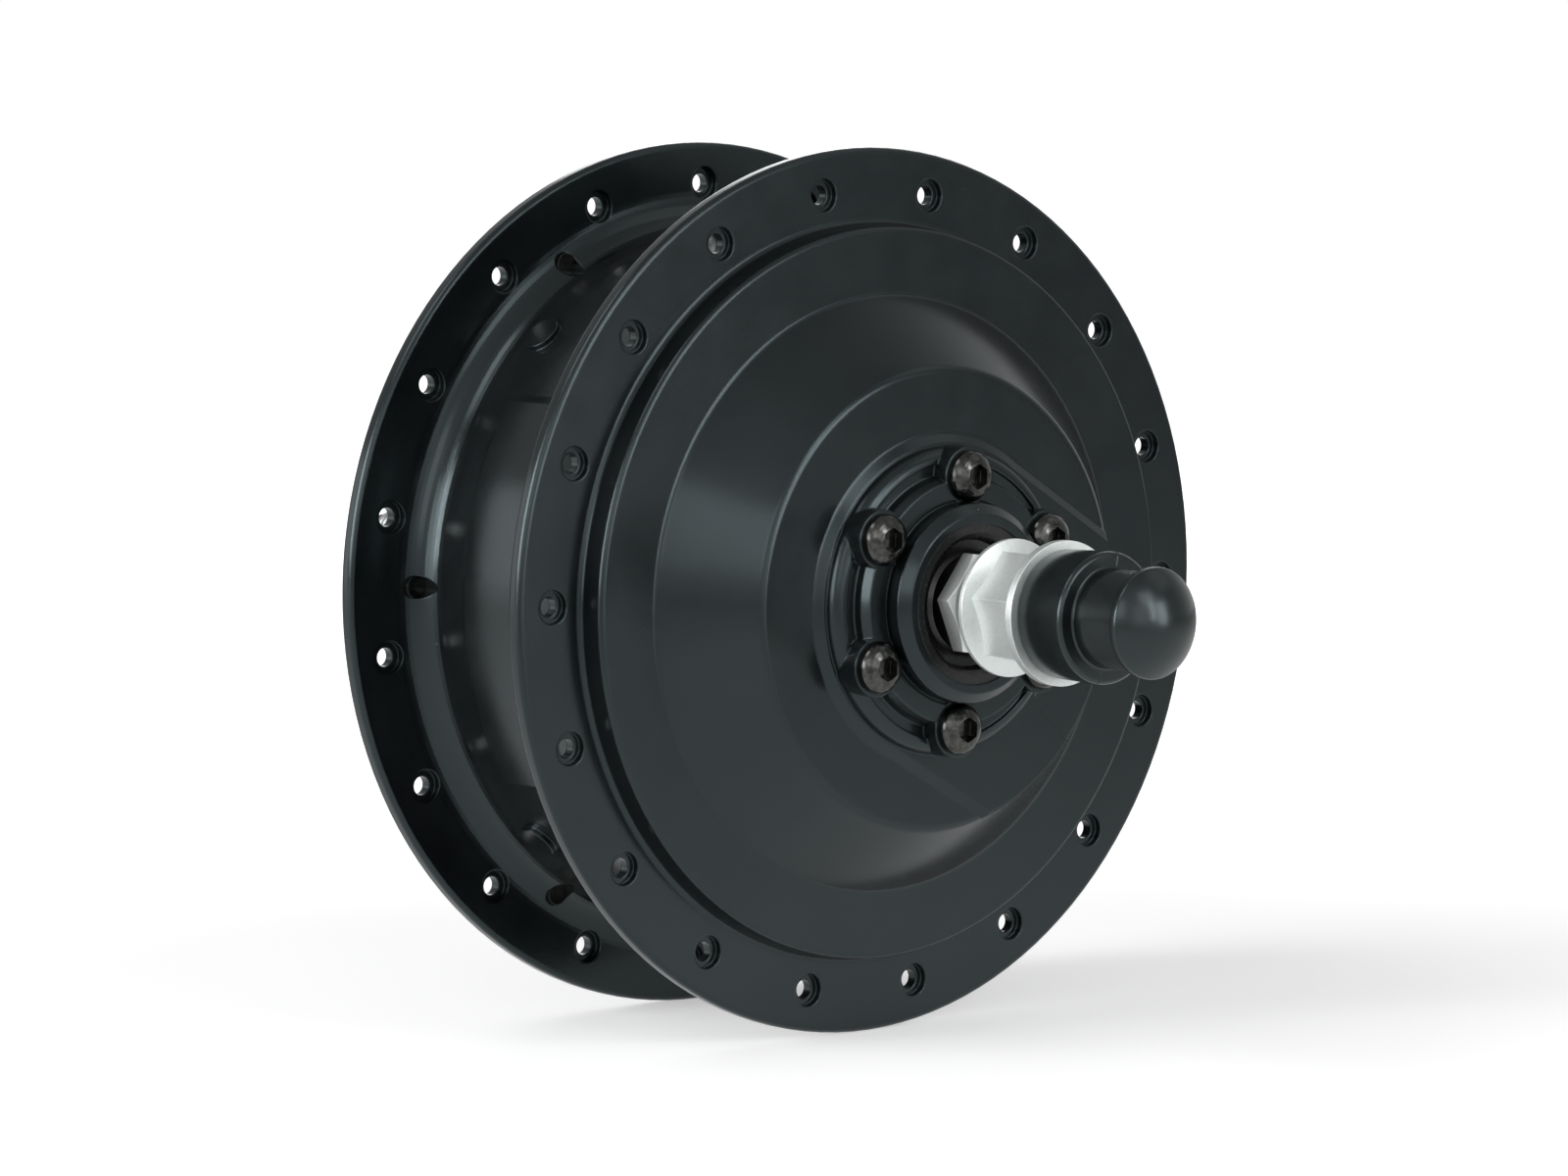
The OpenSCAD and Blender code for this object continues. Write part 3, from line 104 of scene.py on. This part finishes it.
class Surface(Shading):
    """A Principled material with helpers that add texture nodes to it."""

    def __init__(self, name, color, roughness, **settings):
        self.material = bpy.data.materials.new(name)
        super().__init__(self.material)
        self.shader = self.add("ShaderNodeBsdfPrincipled")
        output = self.add("ShaderNodeOutputMaterial")
        self.link(self.shader.outputs["BSDF"], output.inputs["Surface"])
        self.shader.inputs["Base Color"].default_value = (*color, 1)
        self.shader.inputs["Roughness"].default_value = roughness
        for socket, value in settings.items():
            self.shader.inputs[socket.replace("_", " ")].default_value = value
        self.place = self.add("ShaderNodeTexCoord").outputs["Object"]
        self.normal = None

    def noise(self, size, detail=3.0, rough=0.5, place=None):
        """Noise whose features are about size metres wide, from 0 to 1."""
        node = self.add("ShaderNodeTexNoise")
        self.link(place or self.place, node.inputs["Vector"])
        node.inputs["Scale"].default_value = 1 / size
        node.inputs["Detail"].default_value = detail
        node.inputs["Roughness"].default_value = rough
        return node.outputs["Fac"]

    def spread(self, value, low, high, to_low=0.0, to_high=1.0):
        """Maps low and high to to_low and to_high, and holds the value between those two."""
        node = self.add("ShaderNodeMapRange")
        self.link(value, node.inputs["Value"])
        limits = {"From Min": low, "From Max": high, "To Min": to_low, "To Max": to_high}
        for socket, number in limits.items():
            node.inputs[socket].default_value = number
        return node.outputs["Result"]

    def specks(self, cell, radius, share):
        """A factor that is 1 on round specks of up to radius, in a share of a grid's cells."""
        node = self.add("ShaderNodeTexVoronoi")
        self.link(self.place, node.inputs["Vector"])
        node.inputs["Scale"].default_value = 1 / cell
        pick = self.add("ShaderNodeSeparateColor")
        self.link(node.outputs["Color"], pick.inputs["Color"])
        chosen = self.calc("LESS_THAN", pick.outputs["Red"], share)
        reach = self.spread(pick.outputs["Green"], 0, 1, 0.4 * radius / cell, radius / cell)
        near = self.calc("LESS_THAN", node.outputs["Distance"], reach)
        return self.calc("MULTIPLY", chosen, near)

    def tint(self, factor, color):
        """Blends the base colour towards color where factor is high."""
        base = self.shader.inputs["Base Color"]
        node = self.add("ShaderNodeMix", data_type="RGBA")
        self.link(factor, node.inputs["Factor"])
        if base.is_linked:
            self.link(base.links[0].from_socket, node.inputs["A"])
        else:
            node.inputs["A"].default_value = base.default_value
        node.inputs["B"].default_value = (*color, 1)
        self.link(node.outputs["Result"], base)

    def roughen(self, factor, low, high):
        """Sets the roughness between low and high by a factor from 0 to 1."""
        self.link(self.spread(factor, 0, 1, low, high), self.shader.inputs["Roughness"])

    def soft_edges(self, radius):
        """Rounds the shading over edges, as paint and plating do. It comes before the bumps."""
        node = self.add("ShaderNodeBevel", samples=6)
        node.inputs["Radius"].default_value = radius
        self.normal = node.outputs["Normal"]

    def bump(self, height, depth):
        """Adds relief of depth metres for a height from 0 to 1."""
        node = self.add("ShaderNodeBump")
        node.inputs["Distance"].default_value = depth
        self.link(height, node.inputs["Height"])
        if self.normal:
            self.link(self.normal, node.inputs["Normal"])
        self.normal = node.outputs["Normal"]
        self.link(self.normal, self.shader.inputs["Normal"])


# Materials


def black_paint():
    """Glossy black paint over a sand cast and turned aluminium housing, with a little dust."""
    s = Surface("black_paint", (0.0045, 0.0054, 0.0058), 0.22, Specular_IOR_Level=0.5,
                Specular_Tint=(0.76, 0.95, 1.0, 1.0))
    s.tint(s.spread(s.noise(14 * MM, 4), 0.35, 0.7), (0.0075, 0.0088, 0.0092))
    s.tint(s.specks(4.5 * MM, 0.13 * MM, 0.1), (0.16, 0.165, 0.165))
    s.tint(s.specks(1.7 * MM, 0.07 * MM, 0.04), (0.1, 0.1, 0.1))
    s.roughen(s.noise(7 * MM, 5, 0.6), 0.16, 0.24)
    s.soft_edges(0.45 * MM)
    s.bump(s.noise(9 * MM, 2), 0.02 * MM)
    patches = s.spread(s.noise(22 * MM, 2), 0.42, 0.62, 0.25, 1.0)
    s.bump(s.calc("MULTIPLY", s.noise(0.55 * MM, 3, 0.6), patches), 0.014 * MM)
    return s.material


def zinc_plate():
    """Matte silver zinc plating on forged nuts, with fine grain and small grey specks."""
    s = Surface("zinc_plate", (0.77, 0.81, 0.8), 0.4, Metallic=0.8, Specular_IOR_Level=0.5)
    s.tint(s.spread(s.noise(0.6 * MM, 6, 0.75), 0.5, 0.7), (0.68, 0.71, 0.70))
    s.tint(s.specks(0.55 * MM, 0.06 * MM, 0.3), (0.24, 0.25, 0.24))
    s.roughen(s.noise(0.8 * MM, 5, 0.7), 0.3, 0.5)
    s.soft_edges(0.2 * MM)
    s.bump(s.noise(0.4 * MM, 4, 0.7), 0.03 * MM)
    return s.material


def axle_steel():
    """Turned and ground axle steel with fine rings."""
    s = Surface("axle_steel", (0.5, 0.51, 0.51), 0.32, Metallic=1.0)
    s.tint(s.spread(s.noise(3 * MM, 5), 0.45, 0.7), (0.38, 0.385, 0.38))
    s.roughen(s.noise(0.8 * MM, 4), 0.25, 0.42)
    stretched = s.add("ShaderNodeVectorMath", operation="MULTIPLY")
    s.link(s.place, stretched.inputs[0])
    stretched.inputs[1].default_value = (0.02, 1, 0.02)
    s.bump(s.noise(0.25 * MM, 2, place=stretched.outputs[0]), 0.004 * MM)
    return s.material


def cap_plastic():
    """Glossy moulded black plastic."""
    s = Surface("cap_plastic", (0.005, 0.0058, 0.006), 0.2, Specular_IOR_Level=0.55,
                Specular_Tint=(0.8, 0.96, 1.0, 1.0))
    s.tint(s.spread(s.noise(5 * MM, 4), 0.4, 0.75), (0.009, 0.0102, 0.0105))
    s.tint(s.specks(3.0 * MM, 0.07 * MM, 0.1), (0.12, 0.12, 0.12))
    s.roughen(s.noise(2.5 * MM, 4, 0.6), 0.2, 0.28)
    s.bump(s.noise(0.6 * MM, 3), 0.002 * MM)
    return s.material


def black_screws():
    """Black zinc on the screw heads, uneven in tone and with small bright specks."""
    s = Surface("black_screws", (0.084, 0.085, 0.08), 0.16, Metallic=1.0)
    s.tint(s.spread(s.noise(1.1 * MM, 5, 0.6), 0.4, 0.7), (0.034, 0.034, 0.033))
    s.tint(s.specks(0.7 * MM, 0.045 * MM, 0.3), (0.5, 0.49, 0.47))
    s.roughen(s.noise(0.7 * MM, 4, 0.65), 0.1, 0.22)
    s.soft_edges(0.15 * MM)
    s.bump(s.noise(0.4 * MM, 4, 0.6), 0.008 * MM)
    return s.material


def winding_wire():
    """Lacquered copper turns, as fine ridges round each coil."""
    s = Surface("winding_wire", (0.55, 0.2, 0.07), 0.3, Metallic=0.85)
    s.tint(s.spread(s.noise(1.5 * MM, 4), 0.4, 0.7), (0.42, 0.13, 0.04))
    wave = s.add("ShaderNodeTexWave", wave_type="BANDS", bands_direction="Y")
    s.link(s.place, wave.inputs["Vector"])
    wave.inputs["Scale"].default_value = 1 / (1.1 * MM) / 2 / math.pi
    wave.inputs["Distortion"].default_value = 0.6
    s.bump(wave.outputs["Fac"], 0.12 * MM)
    s.roughen(s.noise(1 * MM, 3), 0.25, 0.4)
    return s.material


def rubber(name, tone, low, high):
    """Black rubber with a soft, slightly uneven surface."""
    s = Surface(name, (tone, tone, tone * 1.05), (low + high) / 2, Specular_IOR_Level=0.45)
    s.tint(s.spread(s.noise(4 * MM, 4), 0.45, 0.75), (tone * 1.8,) * 3)
    s.roughen(s.noise(1.5 * MM, 4, 0.6), low, high)
    s.bump(s.noise(0.5 * MM, 3), 0.004 * MM)
    return s.material


def plain_metal(name, color, darker, low, high, grain):
    """Bare metal with tone and roughness that vary at the size of its grain."""
    s = Surface(name, color, (low + high) / 2, Metallic=1.0)
    s.tint(s.spread(s.noise(grain * 4, 5, 0.6), 0.4, 0.7), darker)
    s.roughen(s.noise(grain * 1.5, 4, 0.6), low, high)
    s.bump(s.noise(grain, 4, 0.6), 0.006 * MM)
    return s.material


def plastic(name, color, lighter, low, high):
    """Moulded plastic, lacquer or board with a faint grain."""
    s = Surface(name, color, (low + high) / 2, Specular_IOR_Level=0.5)
    s.tint(s.spread(s.noise(3 * MM, 4), 0.45, 0.75), lighter)
    s.roughen(s.noise(1.2 * MM, 4, 0.6), low, high)
    s.bump(s.noise(0.5 * MM, 3), 0.004 * MM)
    return s.material


# Tone, and the least and most roughness
RUBBERS = {
    "seal_rubber": (0.007, 0.2, 0.34),
    "grommet_rubber": (0.012, 0.45, 0.65),
}

# Colour, a darker tone of it, the least and most roughness, and the size of the grain
METALS = {
    "black_steel": ((0.03, 0.03, 0.032), (0.018, 0.018, 0.019), 0.3, 0.45, 0.5 * MM),
    "bearing_steel": ((0.62, 0.62, 0.61), (0.52, 0.52, 0.51), 0.16, 0.28, 0.6 * MM),
    "bright_steel": ((0.66, 0.66, 0.65), (0.56, 0.56, 0.55), 0.12, 0.24, 0.5 * MM),
    "spring_steel": ((0.16, 0.155, 0.15), (0.1, 0.095, 0.09), 0.28, 0.42, 0.5 * MM),
    "lamination_steel": ((0.34, 0.35, 0.37), (0.26, 0.27, 0.28), 0.35, 0.5, 0.4 * MM),
    "cast_aluminium": ((0.56, 0.57, 0.57), (0.44, 0.45, 0.45), 0.4, 0.58, 0.9 * MM),
    "bronze": ((0.55, 0.36, 0.17), (0.42, 0.26, 0.11), 0.3, 0.45, 0.4 * MM),
    "gear_steel": ((0.42, 0.42, 0.42), (0.32, 0.32, 0.32), 0.25, 0.4, 0.5 * MM),
    "bell_steel": ((0.5, 0.5, 0.49), (0.4, 0.4, 0.39), 0.3, 0.45, 0.6 * MM),
    "magnet": ((0.58, 0.57, 0.54), (0.48, 0.47, 0.44), 0.2, 0.3, 0.7 * MM),
}

# Colour, a lighter tone of it, and the least and most roughness
PLASTICS = {
    "circuit_board": ((0.01, 0.09, 0.035), (0.014, 0.12, 0.045), 0.28, 0.4),
    "sensor_plastic": ((0.014, 0.014, 0.015), (0.025, 0.025, 0.026), 0.4, 0.55),
    "gear_nylon": ((0.66, 0.62, 0.5), (0.72, 0.69, 0.58), 0.38, 0.5),
}

MATERIALS = {
    "black_paint": black_paint(),
    "zinc_plate": zinc_plate(),
    "axle_steel": axle_steel(),
    "cap_plastic": cap_plastic(),
    "black_screws": black_screws(),
    "winding_wire": winding_wire(),
}
for make, recipes in ((rubber, RUBBERS), (plain_metal, METALS), (plastic, PLASTICS)):
    MATERIALS.update((name, make(name, *recipe)) for name, recipe in recipes.items())

for part in frame["record"]["subparts"]:
    mesh = nodes[part["node"]].data
    mesh.materials.clear()
    mesh.materials.append(MATERIALS[part["material_slot"]])


# Mesh building blocks


def mesh_object(name, vertices, faces, material):
    """A new object in the scene, whose mesh has one material."""
    mesh = bpy.data.meshes.new(name)
    mesh.from_pydata(vertices, [], faces)
    mesh.validate()
    mesh.materials.append(material)
    made = bpy.data.objects.new(name, mesh)
    bpy.context.collection.objects.link(made)
    return made


def side_faces(rows, width):
    """Quads between rows of width points each, where every row is a loop.

    Ridges and cap order their points so that the quads face outwards.
    """
    faces = []
    for i in range(rows - 1):
        for k in range(width):
            a, b = i * width + k, i * width + (k + 1) % width
            faces.append((a, a + width, b + width, b))
    return faces


# Threads, which stand proud of the plain cylinders of the model

STEPS_PER_TURN = 72
RUN_OUT_STEPS = 20

# Corners of the ridge's section: along the axis in pitches, and outwards in ridge heights
RIDGE_SECTION = ((-0.42, -0.12), (-0.06, 1.0), (0.06, 1.0), (0.42, -0.12))


def helix_ridge(name, body, slot, y, back_y, root_r, height, pitch, flats=None):
    """A screw thread ridge round the Y axis from y to back_y, in mm.

    Its ends run out, and flats cuts it off at that distance from the middle.
    """
    steps = int((back_y - y - pitch) / pitch * STEPS_PER_TURN)
    vertices = []
    for i in range(steps + 1):
        angle = 2 * math.pi * i / STEPS_PER_TURN
        middle = y + pitch / 2 + pitch * i / STEPS_PER_TURN
        rise = min(1, i / RUN_OUT_STEPS, (steps - i) / RUN_OUT_STEPS)
        for along, up in RIDGE_SECTION:
            r = root_r + height * (up * rise if up > 0 else up)
            x = r * math.sin(angle)
            if flats:
                x = max(-flats, min(flats, x))
            vertices.append((x * MM, (middle + along * pitch) * MM, r * math.cos(angle) * MM))
    width = len(RIDGE_SECTION)
    faces = side_faces(steps + 1, width)
    faces.append(tuple(range(width)))
    faces.append(tuple(reversed(range(steps * width, steps * width + width))))
    ridge = mesh_object(name, vertices, faces, MATERIALS[slot])
    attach(ridge, body)


AXLE_THREAD = {"root_r": 6.0, "height": 0.22, "pitch": 1.25, "flats": 4.97}

helix_ridge("freewheel_thread_ridge", "shell", "black_paint", 28.9, 39.1,
            root_r=17.45, height=0.34, pitch=1.058)
helix_ridge("disc_gap_thread", "axle", "axle_steel", -71.7, -67.6, **AXLE_THREAD)
helix_ridge("drive_gap_thread", "axle", "axle_steel", 67.6, 71.7, **AXLE_THREAD)
helix_ridge("drive_end_thread", "axle", "axle_steel", 86.2, 104.2, **AXLE_THREAD)


# The axle cap, turned finer than in the model and with its mould line. All sizes are in mm.

CAP_BORE_R = 6.02
CAP_NECK_R = 8.5
CAP_DOME_R = 9.5
CAP_BASE_LENGTH = 11
CAP_NECK_LENGTH = 10
CAP_RIM_LENGTH = 1.4
CAP_DRAFT = 0.4
CAP_GROOVE_DEPTH = 0.4
CAP_GROOVE_START, CAP_GROOVE_END = 0.6, 0.4

# Parts of the way from the middle of the dome to its rim
DOME_STEPS = (0.94, 0.88, 0.8, 0.7, 0.6, 0.5, 0.4, 0.3, 0.2, 0.12, 0.06)

# Degrees between points round the cap, and the least angle of an edge that shades sharp
CAP_STEP = 2
SHARP_ANGLE = 40

# The mould line's directions in degrees, its section as degrees and rise, and how far it
# stays away from the neck
MOULD_LINE_SIDES = (11, 191)
MOULD_LINE_HEIGHT = 0.09
MOULD_LINE_SECTION = ((-0.7, 0.0), (-0.25, 1.0), (0.25, 1.0), (0.7, 0.0))
MOULD_LINE_MARGIN = 0.6


def corner_arc(before, at, after, radius, steps=10):
    """Points of an arc of the radius that rounds the corner at."""
    before, at, after = Vector(before), Vector(at), Vector(after)
    u, v = (before - at).normalized(), (after - at).normalized()
    half = u.angle(v) / 2
    centre = at + (u + v).normalized() * radius / math.sin(half)
    first = at + u * radius / math.tan(half) - centre
    last = at + v * radius / math.tan(half) - centre
    start = math.atan2(first.y, first.x)
    turn = (math.atan2(last.y, last.x) - start + math.pi) % (2 * math.pi) - math.pi
    angles = [start + turn * i / steps for i in range(steps + 1)]
    return [centre + Vector((math.cos(a), math.sin(a))) * radius for a in angles]


def rounded(points):
    """The outline with an arc at each point that has a radius as its third number."""
    outline = []
    for i, point in enumerate(points):
        if len(point) == 2:
            outline.append(Vector(point))
        else:
            following = points[(i + 1) % len(points)]
            outline += corner_arc(points[i - 1][:2], point[:2], following[:2], point[2])
    return outline


def cap_outline(tip, foot, rim, base_r, bore_end):
    """Half the cap's section as points of radius and y, from its bore's end round to its tip."""
    step = foot - CAP_BASE_LENGTH
    shoulder = rim - CAP_RIM_LENGTH
    height = shoulder - tip
    curve_r = (CAP_DOME_R ** 2 + height ** 2) / (2 * height)
    spread = math.asin(CAP_DOME_R / curve_r)
    dome = [(curve_r * math.sin(spread * t), tip + curve_r * (1 - math.cos(spread * t)))
            for t in DOME_STEPS]
    groove_r = CAP_NECK_R - CAP_GROOVE_DEPTH
    # A third number is the radius that rounds the corner
    return rounded([
        (CAP_BORE_R, bore_end), (CAP_BORE_R, foot),
        (base_r - CAP_DRAFT, foot, 0.3), (base_r, step, 0.8), (CAP_NECK_R, step, 0.5),
        (CAP_NECK_R, rim + CAP_GROOVE_START), (groove_r, rim + CAP_GROOVE_END), (groove_r, rim),
        (CAP_DOME_R, rim, 0.3), (CAP_DOME_R, shoulder, 0.7), *dome,
    ])


def axle_cap():
    """Turns the cap's outline round the axle, with the mould line on the outside of its base."""
    low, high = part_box("axle_cap")
    tip, foot, base_r = low[1] / MM, high[1] / MM, high[0] / MM
    bore_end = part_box("axle")[0][1] / MM
    rim = foot - CAP_BASE_LENGTH - CAP_NECK_LENGTH
    outline = cap_outline(tip, foot, rim, base_r, bore_end)

    turns = [(math.radians(degrees), 0.0) for degrees in range(0, 360, CAP_STEP)]
    for side in MOULD_LINE_SIDES:
        turns += [(math.radians(side + offset), rise) for offset, rise in MOULD_LINE_SECTION]
    turns.sort()

    vertices = []
    for i, point in enumerate(outline):
        along = (outline[(i + 1) % len(outline)] - outline[i - 1]).normalized()
        # The first three points are the bore and the base's flat end
        on_base = i > 2 and point.x > CAP_NECK_R + MOULD_LINE_MARGIN and point.y > rim
        proud = MOULD_LINE_HEIGHT * MM if on_base else 0.0
        for turn, rise in turns:
            r = point.x * MM - along.y * proud * rise
            y = point.y * MM + along.x * proud * rise
            vertices.append((r * math.sin(turn), y, r * math.cos(turn)))

    width = len(turns)
    faces = side_faces(len(outline), width)
    inner, outer = len(vertices), len(vertices) + 1
    vertices += [(0, bore_end * MM, 0), (0, tip * MM, 0)]
    last = (len(outline) - 1) * width
    for k in range(width):
        following = (k + 1) % width
        faces.append((inner, k, following))
        faces.append((outer, last + following, last + k))

    skin = mesh_object("axle_cap_skin", vertices, faces, MATERIALS["cap_plastic"])
    for polygon in skin.data.polygons:
        polygon.use_smooth = True
    skin.data.set_sharp_from_angle(angle=math.radians(SHARP_ANGLE))
    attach(skin, "axle")
    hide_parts("axle_cap")


axle_cap()


# Studio: a pale floor, a white surround and soft lamps

# The camera's axes and place, worked out from the photo's perspective
BACK = Vector((-0.64370, -0.75948, 0.09402))
RIGHT = Vector((0.76286, -0.64656, 0.0))
UP = Vector((0.06079, 0.07172, 0.99557))
CAMERA_PLACE = Vector((-0.7419, -0.8872, 0.1074))
FOCAL_LENGTH, SENSOR_WIDTH = 147.5, 36

# Light that comes from all sides on rough faces
AMBIENT = 0.2

# What polished faces mirror: along the camera's direction and back, and square to it
END_LIGHT = 0.95
SIDE_LIGHT = 0.38

# The floor's own light under the object, and the distances between which it fades
FLOOR_GLOW = 0.45
FADE_START, FADE_END = 0.15, 0.6
FLOOR_REACH = 4.0

# The point that the lamps face, and how far they stand from it
AIM = Vector((0, -0.02, 0))
LAMP_DISTANCE = 1.4

# Name, degrees round from the front, degrees up, width, height, watts
LAMPS = (
    ("lamp_left", -110, 15, 0.6, 0.6, 9.5),
    ("lamp_left_strip", -98, 18, 0.12, 0.8, 2.5),
    ("lamp_left_front", -85, 12, 0.6, 0.6, 3.5),
    ("lamp_left_top", -110, 55, 0.6, 0.6, 3.2),
    ("lamp_left_back", -142, 6, 0.3, 0.6, 0.8),
    ("lamp_back_right", 140, 20, 0.6, 0.6, 2.5),
    ("lamp_front_left", -45, 20, 0.6, 0.6, 1.6),
    ("lamp_front", -10, 8, 0.5, 0.75, 1.0),
    ("lamp_front_strip", 9, 14, 0.12, 0.6, 2.0),
    ("lamp_front_right", 24, 8, 0.36, 0.75, 4.0),
    ("lamp_front_top", 5, 32, 0.5, 0.4, 1.4),
    ("lamp_right_top", 50, 45, 0.6, 0.6, 0.4),
)


def add_camera():
    data = bpy.data.cameras.new("camera")
    data.sensor_width = SENSOR_WIDTH
    data.lens = FOCAL_LENGTH
    data.clip_start = 0.05
    camera = bpy.data.objects.new("camera", data)
    axes = Matrix((RIGHT, UP, BACK)).transposed().to_4x4()
    camera.matrix_world = Matrix.Translation(CAMERA_PLACE) @ axes
    bpy.context.collection.objects.link(camera)
    bpy.context.scene.camera = camera


def add_lamp(name, turn, rise, width, height, watts):
    """A soft lamp, turn degrees round from the front and rise degrees up, aimed at the object."""
    data = bpy.data.lights.new(name, "AREA")
    data.shape = "RECTANGLE"
    data.size, data.size_y = width, height
    data.energy = watts
    lamp = bpy.data.objects.new(name, data)
    turn, rise = math.radians(turn), math.radians(rise)
    direction = Vector((math.sin(turn) * math.cos(rise), -math.cos(turn) * math.cos(rise),
                        math.sin(rise)))
    lamp.location = AIM + direction * LAMP_DISTANCE
    lamp.rotation_mode = "QUATERNION"
    lamp.rotation_quaternion = direction.to_track_quat("Z", "Y")
    bpy.context.collection.objects.link(lamp)


def add_world():
    """A white surround that polished faces mirror dimmer at the sides and overhead."""
    world = bpy.data.worlds.new("surround")
    s = Shading(world)
    facing = s.add("ShaderNodeVectorMath", operation="DOT_PRODUCT")
    facing.inputs[1].default_value = -BACK
    s.link(s.add("ShaderNodeTexCoord").outputs["Generated"], facing.inputs[0])
    ends = s.calc("POWER", s.calc("ABSOLUTE", facing.outputs["Value"]), 2.0)
    mirrored = s.calc("MULTIPLY_ADD", ends, END_LIGHT - SIDE_LIGHT, SIDE_LIGHT)
    camera_ray, mirror_ray = s.ray_kinds()
    soft = s.calc("MULTIPLY_ADD", mirror_ray, s.calc("SUBTRACT", mirrored, AMBIENT), AMBIENT)
    background = s.add("ShaderNodeBackground")
    background.inputs["Color"].default_value = (1, 1, 1, 1)
    s.link(s.calc("MAXIMUM", camera_ray, soft), background.inputs["Strength"])
    output = s.add("ShaderNodeOutputWorld")
    s.link(background.outputs["Background"], output.inputs["Surface"])
    bpy.context.scene.world = world


def add_floor():
    """A wide pale floor that the flanges stand on. It fades to white away from the shadow."""
    s = Surface("floor", (0.8, 0.8, 0.8), 0.9, Specular_IOR_Level=0.0)
    s.tint(s.spread(s.noise(0.5, 2), 0.3, 0.7), (0.82, 0.82, 0.82))
    distance = s.add("ShaderNodeVectorMath", operation="LENGTH")
    s.link(s.place, distance.inputs[0])
    away = distance.outputs["Value"]
    camera_ray, mirror_ray = s.ray_kinds()
    to_white = s.spread(away, FADE_START, FADE_END, FLOOR_GLOW, 1.0)
    to_black = s.spread(away, FADE_START, FADE_END, FLOOR_GLOW, 0.0)
    seen = s.calc("MULTIPLY", camera_ray, to_white)
    mirrored = s.calc("MULTIPLY", mirror_ray, to_black)
    s.shader.inputs["Emission Color"].default_value = (1, 1, 1, 1)
    s.link(s.calc("MAXIMUM", seen, mirrored), s.shader.inputs["Emission Strength"])

    z = cad_box[0][2]
    reach = FLOOR_REACH
    corners = [(-reach, -reach, z), (reach, -reach, z), (reach, reach, z), (-reach, reach, z)]
    floor = mesh_object("floor", corners, [(0, 1, 2, 3)], s.material)


add_camera()
add_world()
add_floor()
for lamp in LAMPS:
    add_lamp(*lamp)
bpy.context.scene.view_settings.view_transform = "Standard"
